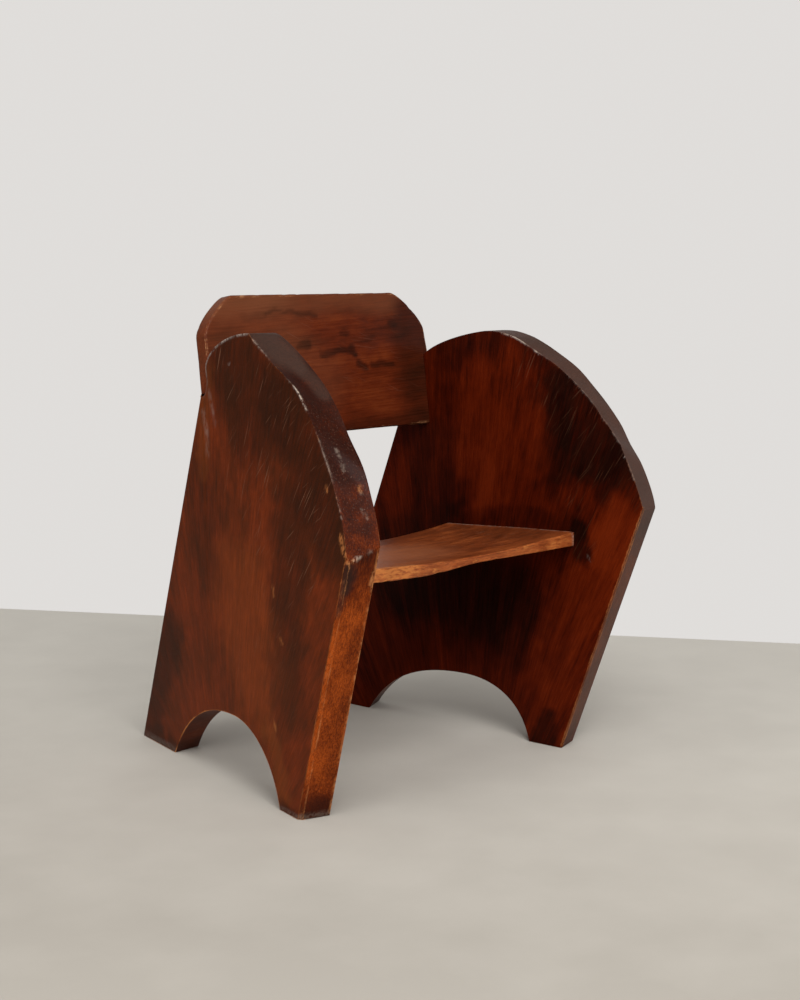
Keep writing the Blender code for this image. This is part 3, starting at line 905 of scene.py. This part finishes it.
# Along the arms the rims paint highlights on the arris, strongest between the listed heights, with some
# pale chips.
ARM_GLINT_LOWEST = 0.47
ARM_GLINT_HEIGHTS = {"left": (0.6, 0.66), "right": (0.66, 0.7)}
ARM_GLINT_FADES = (0.03, 0.02)
ARM_GLINT = (0.28, 0.9)
ARM_GLINT_REACH = (0.003, 0.0006)
ARM_GLINT_PITCHES = (21, 110)
ARM_GLINT_SMALL_SHARE = 0.4
ARM_GLINT_BREAKS = (-0.25, 0.45)
FRONT_RIM = 0.95
FRONT_RIM_REACH = (0.0044, 0.0012)
FRONT_RIM_PITCH = 52
FRONT_RIM_BREAKS = (-0.35, 0.35)


def wander(place, pitch, middle, swing):
    """A value that noise swings round a middle."""
    return middle + swing * noise.noise(place * pitch)


def pale_rim(hand, stretch, seen_arris, place, z):
    """The rim at a point of an arris: its kind of mark, its strength and its reach."""
    if seen_arris and stretch == "arm" and z > ARM_GLINT_LOWEST:
        low, high = ARM_GLINT_HEIGHTS[hand]
        strongest = eased(low - ARM_GLINT_FADES[0], low, z) * eased(high + ARM_GLINT_FADES[1], high, z)
        rim = ARM_GLINT[0] + (ARM_GLINT[1] - ARM_GLINT[0]) * strongest
        broad, small = (noise.noise(place * pitch) for pitch in ARM_GLINT_PITCHES)
        rim *= eased(*ARM_GLINT_BREAKS, broad + ARM_GLINT_SMALL_SHARE * small)
        return "glint", rim, ARM_GLINT_REACH
    if hand == "left" and stretch == "front":
        rim = FRONT_RIM * eased(*FRONT_RIM_BREAKS, noise.noise(place * FRONT_RIM_PITCH))
        return "nick", rim, FRONT_RIM_REACH
    if hand == "left" and seen_arris:
        rim = RIM_GLINT.get(stretch, 0) * wander(place, *RIM_WANDER) * eased(*RIM_HEIGHTS, z)
        return "glint", rim, RIM_REACH
    return "glint", 0, RIM_REACH


# %% [markdown]
# ## Working a side
# A plank that was shaped with a drawknife and a plane isn't flat: it swells and dips by a fraction of a
# millimetre, more along the edges that were rounded by eye. The arrises of the arm, the head and the
# front edge are chipped. Behind each head the outer face rolls off towards the notch. All of this moves
# vertices along their normals, before the plank goes to its place. The soles of the feet stay flat. The
# grain of each side fans out from a point below the floor, so the place in the plank is kept as an
# angle and a distance from there.

# %% Working a side
PLANE_WAVES = ((13, 0.0005), (45, 0.00018))
EDGE_WAVES = ((24, 0.0009),)
CHIPS = ((64, -0.05, 0.35, 1), (150, 0.05, 0.4, 0.5))
CHIP_DEPTH = 0.0042
CHIP_REACH = (0.0065, 0.001)
CHIP_STRETCHES = {"arm": (1, 0.35), "head": (0.2, 0.2), "front": (0.35, 0.45)}
ROLL_DEPTH = 0.0055
ROLL_REACH = 0.034
ROLL_FOOT = (0.44, 0.56)
ROLL_TOP = (0.7, 0.64)
FLAT_SURFACE = 0.75
FORE_U = -0.135
FORE_Z = 0.66
FORE_TURN = 0.5
FACE_RAGGED = 0.026
EDGE_RAGGED = 0.006
SIDE_WANDER = (31, 0.8, 0.5)
SOLE_HEIGHT = 0.006
GRAIN_ROOTS = {"left": Vector((0.02, -0.22)), "right": Vector((-0.016, -0.35))}
GRAIN_SPREADS = {"left": 0.6, "right": 0.95}
GRAIN_SEEDS = {"left": Vector((0, 0, 0)), "right": Vector((7.3, 2.1, 4.7))}
FINE_REACH = 0.0085


def waves(place, kinds):
    """Height of a planed surface's swells and ripples, each with a pitch and a height."""
    return sum(height * noise.noise(place * pitch) for pitch, height in kinds)


def chips(place, kinds):
    """How deep chips bite, each kind with a pitch, the noise where it starts and is full, and a share."""
    return sum(share * eased(low, high, noise.noise(place * pitch)) for pitch, low, high, share in kinds)


def surface_of(vert):
    """Which surface of a side a vertex lies on: outer, inner, fore for arm and front, or aft."""
    if vert.normal.y < -FLAT_SURFACE or vert.co.y < WELD:
        return "outer"
    if vert.normal.y > FLAT_SURFACE or vert.co.y > SIDE_THICKNESS - WELD:
        return "inner"
    ahead = vert.co.x < FORE_U or vert.co.z > FORE_Z
    return "fore" if ahead and vert.normal.x < FORE_TURN else "aft"


def roll_off(u, z):
    """Depth of the rolled rear corner behind a head, on the outer face."""
    shoulder = OUTER_FACE["shoulder"]
    edge = shoulder + (HEEL_U - shoulder) * max(0, SHOULDER_Z - z) / SHOULDER_Z
    if z > SHOULDER_Z:
        edge = along_side(board_front(z), z, 0) - OUTER_FACE["splay"]
    inward = eased(ROLL_REACH, 0, edge - u)
    return ROLL_DEPTH * inward * inward * eased(*ROLL_FOOT, z) * eased(*ROLL_TOP, z)


def grain_place(hand, u, w, z):
    """Place in the plank along its fanned grain: across, through and along."""
    arm = Vector((u, z)) - GRAIN_ROOTS[hand]
    return Vector((atan2(arm.x, arm.y) * GRAIN_SPREADS[hand], w, arm.length)) + GRAIN_SEEDS[hand]


def refine_arrises(bm, tree, stretches):
    """Halve the cells along the arm, the head and the front edge, where the chips are."""
    near = set()
    for vert in bm.verts:
        spot, index, gap = tree.find(vert.co)
        if gap < FINE_REACH and stretches[index][1] in CHIP_STRETCHES:
            near.add(vert)
    edges = [edge for edge in bm.edges if edge.verts[0] in near and edge.verts[1] in near]
    bmesh.ops.subdivide_edges(bm, edges=edges, cuts=1, use_grid_fill=True)
    bm.normal_update()


def work_side(bm, hand, tree, stretches, skin):
    """Shape a side's surface and write its marks and wear into vertex attributes."""
    layers, plank = mark_layers(bm)
    moves = []
    for vert in bm.verts:
        u, w, z = vert.co
        surface = surface_of(vert)
        on_face = surface in ("outer", "inner")
        here = Vector((u, z)) if on_face else Vector((w, z))
        marks = SIDE_MARKS.get((hand, surface), QUIET_MARKS)
        write_marks(vert, layers, here, marks, FACE_RAGGED if on_face else EDGE_RAGGED)
        vert[plank] = grain_place(hand, u, w, z)
        place = vert.co + GRAIN_SEEDS[hand]
        spot, index, gap = tree.find(vert.co)
        wear, stretch = stretches[index]
        rubbed = wander(place, *SIDE_WANDER)
        vert[layers["wear"]] = wear * rubbed * arris_amount(vert) * eased(*ARRIS_NEAR, gap)
        seen_arris = (w < SIDE_THICKNESS / 2) == (hand == "left")
        kind, rim, reach = pale_rim(hand, stretch, seen_arris, place, z)
        vert[layers[kind]] = max(vert[layers[kind]], rim * eased(*reach, gap))
        wave = waves(place, PLANE_WAVES if on_face else PLANE_WAVES + EDGE_WAVES)
        chipped = CHIP_STRETCHES.get(stretch, (0, 0))[0 if seen_arris else 1]
        wave -= CHIP_DEPTH * chips(place, CHIPS) * chipped * eased(*CHIP_REACH, gap)
        if surface == "outer":
            wave -= roll_off(u, z)
        if z > SOLE_HEIGHT and vert in skin:
            moves.append((vert, vert.normal * wave))
    for vert, move in moves:
        vert.co += move


# %% [markdown]
# ## The two sides
# A side is now blank, housings, cells and work in that order. The housing walls are left as they were
# cut, so that the boards still fit them. A second material slot marks those walls while the Boolean
# cuts, and afterwards the edges of the plank, which get a finish of their own.

# %% The two sides
EDGE_TURN = 0.8
SMOOTH_TURN = radians(38)
SKIN_DEPTH = 0.002
FRONT_FLATS = {"left": (False, 0.005), "right": (True, 0.0035)}
CUTTER_CELLS = (24, 4)


def dress(bm, name, place, node):
    """Set a worked plank in its place as the piece that stands for a CAD node."""
    piece = as_object(bm, name, place)
    piece.data.shade_smooth()
    piece.data.set_sharp_from_angle(angle=SMOOTH_TURN)
    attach(piece, "root")
    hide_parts(node)
    print(name, "has", len(piece.data.polygons), "faces")
    return piece


def skin_verts(bm):
    """Vertices of the worked surfaces, without the walls and floors of the housings."""
    hidden = set()
    for face in bm.faces:
        depth = face.calc_center_median().y
        if SKIN_DEPTH < depth < SIDE_THICKNESS - SKIN_DEPTH and face.material_index == 1:
            hidden.update(face.verts)
    return set(bm.verts) - hidden


plain = bpy.data.materials.new("plain")
seat_cutter = as_object(seat_blank(CLEARANCE, *CUTTER_CELLS), "seat_cutter", SEAT_PLACE)
back_cutter = as_object(back_blank(CLEARANCE), "back_cutter", BACK_PLACE)
cutters = (seat_cutter, back_cutter)
for cutter in cutters:
    cutter.data.materials.append(None)
    cutter.data.materials.append(plain)
    for polygon in cutter.data.polygons:
        polygon.material_index = 1

sides = []
for hand, side in (("left", LEFT), ("right", RIGHT)):
    place = side_place(side)
    faces = (SIDE_FACES[hand + "_outer"], SIDE_FACES[hand + "_inner"])
    blank = as_object(side_blank(*faces, *FRONT_FLATS[hand]), hand + "_blank", place)
    blank.data.materials.append(None)
    blank.data.materials.append(plain)
    worked = cut_housings(blank, cutters, place)
    cut_cells(worked)
    tree, stretches = arris_points(hand)
    refine_arrises(worked, tree, stretches)
    work_side(worked, hand, tree, stretches, skin_verts(worked))
    for face in worked.faces:
        face.material_index = 1 if abs(face.normal.y) < EDGE_TURN else 0
    sides.append(dress(worked, hand + "_side_plank", place, hand + "_side"))
for cutter in cutters:
    bpy.data.objects.remove(cutter)

# %% [markdown]
# ## The seat board
# The seat is one wide board with its grain from side to side, dished for the sitter. Its front edge is
# rubbed to bare wood and dented, and a pale line shows where it meets the right side. Its walls are
# divided as finely as its top, so that the edge can be uneven too.

# %% The seat board
SEAT_MARKS = strokes_of(
    stain=[(-140, 40, 150, 30, 40, 0.3), (220, -150, 200, -50, 60, 0.25),
           (302, -200, 292, -120, 16, 0.7)],
    # At the left end of the front edge, the second glow stroke and the nick are worn wood and also
    # painted light on an end that the left side shades.
    glow=[(-190, -216, 230, -216, 8, 0.7), (-210, -216, -120, -216, 14, 0.8),
          (-140, -120, 0, -100, 90, 0.2)],
    # Bloom paints a grey sheen on the left of the top, over the varnish's haze.
    bloom=[(0, 0, 0, 0, WASH, 0.12), (-220, -130, -20, -90, 130, 0.62),
           (-190, -180, -170, -120, 40, 0.3)],
    scuff=[(-200, -90, 200, -90, 150, 0.7)],
    nick=[(-230, -216, -100, -216, 16, 0.6)],
)
SEAT_RAGGED = 0.012
SEAT_GRAIN_SHIFT = 3
SEAT_WAVES = ((Vector((9, 14, 14)), 0.0007), (50, 0.00018))
SEAT_WANDER = (Vector((30, 60, 60)), 0.8, 0.45)
SEAT_WEAR = 0.52
SEAT_FRONT_REACH = (0.012, 0.001)
SEAT_REAR_REACH = (0.008, 0.001)
SEAT_REAR_SHARE = 0.4
SEAT_JOINT_GLINT_AND_DUST = 0.45
SEAT_JOINT_REACH = (0.006, 0.002)
SEAT_DENT_PITCH = Vector((45, 60, 60))
SEAT_DENT_SHIFT = Vector((0, 0, 5))
SEAT_DENTS = (0.15, 0.6)
SEAT_DENT_DEPTH = 0.0014
SEAT_WALL_LEAST = 0.006
SEAT_WALL_CUTS = 5


def work_seat(bm):
    """Shape the seat's surface and write its marks and wear."""
    layers, plank = mark_layers(bm)
    bm.normal_update()
    for vert in bm.verts:
        x, y, z = vert.co
        write_marks(vert, layers, Vector((x, y)), SEAT_MARKS, SEAT_RAGGED)
        vert[plank] = (y, z, x + SEAT_GRAIN_SHIFT)
        near_front = eased(*SEAT_FRONT_REACH, y - SEAT_FRONT_Y)
        near_rear = SEAT_REAR_SHARE * eased(*SEAT_REAR_REACH, SEAT_REAR_Y - y)
        rubbed = wander(vert.co, *SEAT_WANDER)
        vert[layers["wear"]] = SEAT_WEAR * rubbed * max(near_front, near_rear)
        joint = face_half_width(y, SEAT_HEIGHT, -SIDE_THICKNESS)
        # A pale line along the joint with the right side: partly a painted highlight, partly dust.
        vert[layers["glint"]] = SEAT_JOINT_GLINT_AND_DUST * eased(*SEAT_JOINT_REACH, abs(x - joint)) * rubbed
        dent = eased(*SEAT_DENTS, noise.noise(vert.co * SEAT_DENT_PITCH + SEAT_DENT_SHIFT)) * near_front
        vert.co += vert.normal * (waves(vert.co, SEAT_WAVES) - SEAT_DENT_DEPTH * dent)


seat_bm = seat_blank(0, *SEAT_CELLS)
walls = [edge for edge in seat_bm.edges
         if abs(edge.verts[0].co.z - edge.verts[1].co.z) > SEAT_WALL_LEAST]
bmesh.ops.subdivide_edges(seat_bm, edges=walls, cuts=SEAT_WALL_CUTS, use_grid_fill=True)
round_arrises(seat_bm, SEAT_ROUND)
work_seat(seat_bm)
seat = dress(seat_bm, "seat_plank", SEAT_PLACE, "seat_board")

# %% [markdown]
# ## The back board
# The back is a straight board with its grain from side to side. It was varnished more thickly than the
# rest, so it is the glossiest piece. Small dark knots and streaks lie along its grain, and its top edge
# is chipped. The ends that sit in the housings stay as they were sawn.

# %% The back board
BACK_MARKS = strokes_of(
    stain=[(-63, 147, -40, 146, 10, 0.8), (-12, 134, 61, 131, 8, 0.8), (58, 137, 62, 131, 10, 0.8),
           (68, 114, 80, 109, 11, 0.85), (100, 114, 140, 112, 8, 0.7), (38, 163, 50, 160, 8, 0.6),
           (148, 178, 158, 174, 9, 0.5), (-125, 201, -19, 199, 5, 0.7), (-170, 196, -130, 198, 10, 0.3),
           (200, 170, 215, 60, 80, 0.55), (40, 4, 200, 2, 34, 0.4), (-190, 130, -200, 160, 40, 0.25)],
    glow=[(-20, 110, 90, 60, 110, 0.3), (-60, 180, 60, 172, 34, 0.3)],
    # Bloom paints a sheen along the top and the left end of the board, over the varnish's haze.
    bloom=[(0, 0, 0, 0, WASH, 0.12), (-230, 238, 140, 240, 60, 0.5), (-230, 150, -130, 180, 110, 0.35),
           (-60, 120, -20, 80, 80, 0.25)],
    scuff=[(-150, 150, 150, 120, 120, 0.4)],
    nick=[(-172, 232, -160, 236, 6, 0.7), (-80, 240, -70, 240, 5, 0.7), (20, 240, 34, 240, 5, 0.6),
          (196, 3, 214, 3, 3, 0.4)],
)
BACK_RAGGED = 0.01
BACK_GRAIN_SHIFT = 6
BACK_WAVES = ((11, 0.0006), (48, 0.00018))
BACK_WANDER = (28, 0.75, 0.5)
BACK_WEAR = 0.66
BACK_CHIPS = ((58, 0.15, 0.6, 1),)
BACK_CHIP_DEPTH = 0.0016
BACK_CHIP_RISE = (0.1, 0.2)
BACK_HOUSED_TOP = BACK_HOUSED_HEIGHT + 0.004
BACK_HOUSED_X = 0.19


def work_back(bm):
    """Shape the back's surface and write its marks and wear."""
    layers, plank = mark_layers(bm)
    bm.normal_update()
    outline = back_outline(0)
    spots = []
    for point, after in zip(outline, outline[1:] + outline[:1]):
        for x, rise in laid_along(point, after):
            spots += [Vector((x, 0, rise)), Vector((x, BACK_THICKNESS, rise))]
    tree = search_tree(spots)
    for vert in bm.verts:
        x, through, rise = vert.co
        write_marks(vert, layers, Vector((x, rise)), BACK_MARKS, BACK_RAGGED)
        vert[plank] = (rise, through, x + BACK_GRAIN_SHIFT)
        spot, index, gap = tree.find(vert.co)
        rubbed = wander(vert.co, *BACK_WANDER)
        vert[layers["wear"]] = BACK_WEAR * rubbed * arris_amount(vert) * eased(*ARRIS_NEAR, gap)
        chip = chips(vert.co, BACK_CHIPS) * eased(*CHIP_REACH, gap) * eased(*BACK_CHIP_RISE, rise)
        if rise >= BACK_HOUSED_TOP or abs(x) <= BACK_HOUSED_X:
            vert.co += vert.normal * (waves(vert.co, BACK_WAVES) - BACK_CHIP_DEPTH * chip)


back_bm = back_blank(0)
round_arrises(back_bm, BACK_ROUND)
cut_cells(back_bm)
work_back(back_bm)
back = dress(back_bm, "back_plank", BACK_PLACE, "back_board")

# %% [markdown]
# ## Grain
# Wood is long threads, so its figure is noise that is stretched along the plank. The plank attribute
# holds each vertex's place in its own board, with the grain along the third direction. A Mapping node
# of the texture kind first tilts that place and then divides it by the size of one feature, in metres.

# %% Grain
THREAD_ROUGHNESS = 0.55


def mark(tree, kind):
    return add_node(tree, "ShaderNodeAttribute", attribute_name=kind).outputs["Fac"]


def stretched(tree, place, turn, sizes):
    """A place that is turned and divided by the sizes of one feature."""
    sockets = {"Vector": place, "Rotation": turn, "Scale": sizes}
    return add_node(tree, "ShaderNodeMapping", sockets, vector_type="TEXTURE").outputs[0]


def threads(tree, place, size, tilt, detail):
    """Noise in threads of a width and a length, tilted from the grain's direction."""
    width, length = size
    along = stretched(tree, place, (0, tilt, 0), (width, width, length))
    return cloudy(tree, along, 1, detail, THREAD_ROUGHNESS)


def tones_along(tree, value, stops, colours):
    """A colour ramp with a colour at each stop."""
    node = add_node(tree, "ShaderNodeValToRGB", {0: value})
    elements = node.color_ramp.elements
    while len(elements) < len(stops):
        elements.new(0.5)
    for element, stop, colour in zip(elements, stops, colours):
        element.position = stop
        element.color = (*colour, 1)
    return node.outputs[0]


# %% [markdown]
# ## Old varnish
# The finish is built up in the order in which the real one grew. First comes the wood: broad figure,
# grain lines and fine threads make a tone, which a ramp turns into colour. Pores, stains with some
# painted shade, haze with painted sheen and hairline scratches lie over it. The rubbed arrises and
# nicks show bare wood, and the pale rims come last: painted highlights, with some pale chips and dust.
# The gloss is low and duller where the wood is bare or hazy. Some planks have a trace of a coat.

# %% Old varnish
TONE_STOPS = (0.34, 0.45, 0.54, 0.66)
MARK_TONE = 0.13
FIGURE_WIDTH = 0.042
FIGURE_TILT = 1.5
MOTTLE_SIZE = (0.011, 0.026)
FINE_SIZE = (0.0013, 0.03)
PORE_WIDTH = 0.0008
PORE_SPAN = (0.5, 0.66)
STAIN_AND_SHADE_SPAN = (0.25, 0.6)
STAIN_AND_SHADE_OVER_HAZE_AND_SHEEN = 0.5
HAZE_AND_SHEEN_SPAN = (-0.4, 0.65)
HAZE_AND_SHEEN_COVER = 0.9
SCRATCHES = (
    {"size": (0.0018, 0.09), "turn": 0.2, "span": (0.66, 0.76)},
    {"size": (0.0016, 0.07), "turn": 0.5, "span": (0.68, 0.78)},
)
SCRATCH_COVER = 0.65
GRIT_SIZE = (0.004, 0.012)
RAGGED_SPAN = (0.36, 0.56)
BARE_SPAN = (0.42, 0.85)
BARE_COVER = 0.85
DULL_LINES, DULL_BARE, DULL_HAZE_AND_SHEEN, DULL_SCUFFS = (0.14, 0.25, 0.08, 0.1)
LINE_RELIEF, FINE_RELIEF, PORE_RELIEF, SCUFF_RELIEF = (0.2, 0.4, -0.8, -0.3)
BUMP_STRENGTH = 0.3
BUMP_HEIGHT = 0.0006


def weighted(tree, total, parts):
    """A first value and the sum of others with their weights."""
    for value, weight in parts:
        total = reckon(tree, "ADD", total, times(tree, value, weight))
    return total


def cover(tree, colour, amount, strength, over):
    """A colour with another laid over it, by an amount times a strength."""
    return mix_colours(tree, times(tree, amount, strength), colour, over)


def old_varnish(name, look):
    finish, tree, shader = new_finish(name)
    place = add_node(tree, "ShaderNodeAttribute", attribute_name="plank").outputs["Vector"]
    tilt = look["tilt"]
    stain = mark(tree, "stain")
    figure = threads(tree, place, (FIGURE_WIDTH, look["cloud_length"]), tilt * FIGURE_TILT, 4)
    mottle = threads(tree, place, MOTTLE_SIZE, tilt, 4)
    lines = threads(tree, place, look["lines"], tilt, 4)
    fine = threads(tree, place, FINE_SIZE, tilt, 3)
    pores = threads(tree, place, (PORE_WIDTH, look["pore_length"]), tilt, 1)
    grit = threads(tree, place, GRIT_SIZE, tilt, 4)

    grain = ((figure, look["cloud"]), (mottle, look["mottle"]),
             (lines, look["streaks"]), (fine, look["fine"]))
    balance = 0.5 - sum(weight for part, weight in grain) / 2
    marked = ((mark(tree, "glow"), MARK_TONE), (stain, -MARK_TONE))
    colour = tones_along(tree, weighted(tree, balance, grain + marked), TONE_STOPS, look["tones"])
    pore_depth = times(tree, ramp_between(tree, pores, *PORE_SPAN), look["pore_depth"])
    colour = mix_colours(tree, pore_depth, colour, look["pore"])
    stain_depth = times(tree, stain, ramp_between(tree, mottle, *STAIN_AND_SHADE_SPAN))
    colour = cover(tree, colour, stain_depth, look["stain_cover"], look["stain"])
    unstained = reckon(tree, "SUBTRACT", 1, times(tree, stain, STAIN_AND_SHADE_OVER_HAZE_AND_SHEEN))
    # Haze is the varnish's dull bloom together with painted sheen.
    haze_and_sheen = times(tree, mark(tree, "bloom"), ramp_between(tree, lines, *HAZE_AND_SHEEN_SPAN))
    haze_and_sheen = times(tree, haze_and_sheen, unstained)
    colour = cover(tree, colour, haze_and_sheen, HAZE_AND_SHEEN_COVER, look["haze_and_sheen"])
    scratches = 0
    for scratch in SCRATCHES:
        hairs = threads(tree, place, scratch["size"], tilt - scratch["turn"], 1)
        scratches = reckon(tree, "MAXIMUM", scratches, ramp_between(tree, hairs, *scratch["span"]))
    scuffed = times(tree, scratches, mark(tree, "scuff"))
    colour = cover(tree, colour, scuffed, SCRATCH_COVER, look["scratch"])
    rubbed = reckon(tree, "ADD", mark(tree, "wear"), reckon(tree, "SUBTRACT", grit, 0.5))
    ragged = ramp_between(tree, grit, *RAGGED_SPAN)
    nicked = times(tree, mark(tree, "nick"), ragged)
    bare = reckon(tree, "MAXIMUM", ramp_between(tree, rubbed, *BARE_SPAN), nicked)
    colour = cover(tree, colour, bare, BARE_COVER, look["bare"])
    # Last come the pale rims and flecks: painted highlights, with pale chips and dust.
    colour = cover(tree, colour, mark(tree, "glint"), ragged, look["glint"])

    dull = ((lines, DULL_LINES), (bare, DULL_BARE), (haze_and_sheen, DULL_HAZE_AND_SHEEN), (scuffed, DULL_SCUFFS))
    high = ((lines, LINE_RELIEF), (fine, FINE_RELIEF), (pore_depth, PORE_RELIEF), (scuffed, SCUFF_RELIEF))
    bump = add_node(tree, "ShaderNodeBump", {"Height": weighted(tree, 0, high), "Strength": BUMP_STRENGTH,
                                             "Distance": BUMP_HEIGHT})
    fill(tree, shader, {
        "Base Color": colour, "Roughness": weighted(tree, look["roughness"], dull),
        "Specular IOR Level": look["specular"], "Coat Weight": look["coat"],
        "Coat Roughness": look["coat_roughness"], "Normal": bump.outputs[0],
    })
    return finish


# %% [markdown]
# ## Finishes of the planks
# The sides are the darkest and the most stained, and the right one has the plainer figure. Their edges
# are cut across the grain: they are darker where hands left grease, orange where the varnish is thin,
# and full of open pores. The back is redder and glossier, and the seat is lighter and duller, because
# it has been sat on.

# %% Finishes of the planks
# In each look the haze colour is dull varnish and painted sheen, the stain colour is also painted shade,
# and the glint colour is painted highlight, pale chips and dust.
LEFT_LOOK = {
    "tilt": radians(-4), "cloud": 0.42, "cloud_length": 0.09, "mottle": 0.24,
    "lines": (0.0046, 0.08), "streaks": 0.28, "fine": 0.28, "pore_length": 0.009, "pore_depth": 0.22,
    "tones": ((0.01, 0.0018, 0.0008), (0.043, 0.0046, 0.001),
              (0.085, 0.0088, 0.0015), (0.15, 0.019, 0.0034)),
    "pore": (0.012, 0.0028, 0.0013, 1), "stain": (0.01, 0.003, 0.0016, 1), "stain_cover": 0.6,
    "haze_and_sheen": (0.16, 0.04, 0.007, 1), "scratch": (0.18, 0.085, 0.048, 1),
    "bare": (0.33, 0.115, 0.034, 1), "glint": (0.3, 0.25, 0.22, 1),
    "roughness": 0.24, "specular": 0.025, "coat": 0, "coat_roughness": 0.12,
}
RIGHT_LOOK = {
    **LEFT_LOOK, "cloud": 0.36, "cloud_length": 0.15, "mottle": 0.12,
    "lines": (0.006, 0.12), "streaks": 0.22, "fine": 0.22,
    "tones": ((0.009, 0.0014, 0.0006), (0.04, 0.0038, 0.0008),
              (0.08, 0.0074, 0.0011), (0.13, 0.014, 0.0022)),
}
EDGE_LOOK = {
    **LEFT_LOOK, "cloud": 0.24, "cloud_length": 0.06, "mottle": 0.1,
    "lines": (0.0024, 0.06), "streaks": 0.3, "fine": 0.22, "pore_length": 0.0022, "pore_depth": 0.6,
    "tones": ((0.014, 0.0034, 0.0016), (0.065, 0.0095, 0.002),
              (0.14, 0.022, 0.003), (0.34, 0.062, 0.007)),
    "pore": (0.04, 0.008, 0.002, 1), "stain": (0.02, 0.005, 0.0028, 1), "stain_cover": 0.8,
    "haze_and_sheen": (0.07, 0.042, 0.031, 1), "scratch": (0.17, 0.1, 0.075, 1),
    "bare": (0.48, 0.19, 0.065, 1), "glint": (0.42, 0.33, 0.26, 1),
    "roughness": 0.28, "specular": 0.04, "coat": 0.02, "coat_roughness": 0.16,
}
BACK_LOOK = {
    **LEFT_LOOK, "tilt": radians(3), "cloud": 0.44, "cloud_length": 0.15, "mottle": 0.18,
    "lines": (0.0038, 0.1), "streaks": 0.2, "fine": 0.16, "pore_depth": 0.2,
    "tones": ((0.014, 0.0022, 0.0008), (0.046, 0.005, 0.0011),
              (0.084, 0.01, 0.002), (0.14, 0.024, 0.005)),
    "pore": (0.018, 0.0036, 0.0013, 1), "stain": (0.013, 0.0038, 0.002, 1), "stain_cover": 0.75,
    "haze_and_sheen": (0.15, 0.048, 0.02, 1), "scratch": (0.2, 0.09, 0.055, 1),
    "bare": (0.4, 0.19, 0.085, 1),
    "roughness": 0.2, "specular": 0.04, "coat": 0.04, "coat_roughness": 0.1,
}
SEAT_LOOK = {
    "tilt": radians(-2), "cloud": 0.46, "cloud_length": 0.14, "mottle": 0.18,
    "lines": (0.0036, 0.11), "streaks": 0.32, "fine": 0.24, "pore_length": 0.008, "pore_depth": 0.45,
    "tones": ((0.05, 0.0096, 0.0022), (0.142, 0.026, 0.0054),
              (0.235, 0.048, 0.01), (0.4, 0.104, 0.024)),
    "pore": (0.03, 0.008, 0.0025, 1), "stain": (0.03, 0.0085, 0.003, 1), "stain_cover": 0.6,
    "haze_and_sheen": (0.29, 0.098, 0.042, 1), "scratch": (0.32, 0.15, 0.085, 1),
    # The seat's bare colour is paler than wear alone would make it, painting light onto the left end of
    # the front edge.
    "bare": (0.6, 0.215, 0.052, 1), "glint": (0.38, 0.3, 0.25, 1),
    "roughness": 0.28, "specular": 0.08, "coat": 0.04, "coat_roughness": 0.2,
}
PLANK_LOOKS = {"left_faces": LEFT_LOOK, "right_faces": RIGHT_LOOK, "back": BACK_LOOK, "seat": SEAT_LOOK}

edge_finish = old_varnish("old_varnish_on_edges", EDGE_LOOK)
for piece, (surface, look) in zip((*sides, back, seat), PLANK_LOOKS.items()):
    piece.data.materials.append(old_varnish("old_varnish_on_" + surface, look))
for piece in sides:
    piece.data.materials.append(edge_finish)
bpy.data.materials.remove(plain)
print("finishes:", ", ".join(finish.name for finish in bpy.data.materials))

# %% [markdown]
# ## Dowels
# The blind dowels inside the joints keep their CAD shape. They are turned from pale bare wood, with the
# grain along the peg, which lies across the chair.

# %% Dowels
DOWEL_THREAD = (0.03, 0.0012, 0.0012)
DOWEL_STOPS = (0.3, 0.7)
DOWEL_TONES = ((0.36, 0.2, 0.09), (0.56, 0.38, 0.21))
DOWEL_ROUGHNESS = 0.15

dowel_finish, dowel_tree, dowel_shader = new_finish("bare_dowel_wood")
dowel_place = add_node(dowel_tree, "ShaderNodeTexCoord").outputs["Object"]
dowel_grain = cloudy(dowel_tree, stretched(dowel_tree, dowel_place, (0, 0, 0), DOWEL_THREAD), 1, 4)
fill(dowel_tree, dowel_shader, {
    "Base Color": tones_along(dowel_tree, dowel_grain, DOWEL_STOPS, DOWEL_TONES),
    "Roughness": reckon(dowel_tree, "ADD", dowel_grain, DOWEL_ROUGHNESS),
})
dowel_nodes = [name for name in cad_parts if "dowel" in name]
for name in dowel_nodes:
    for dowel_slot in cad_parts[name].material_slots:
        dowel_slot.material = dowel_finish
print("dowels finished:", len(dowel_nodes))
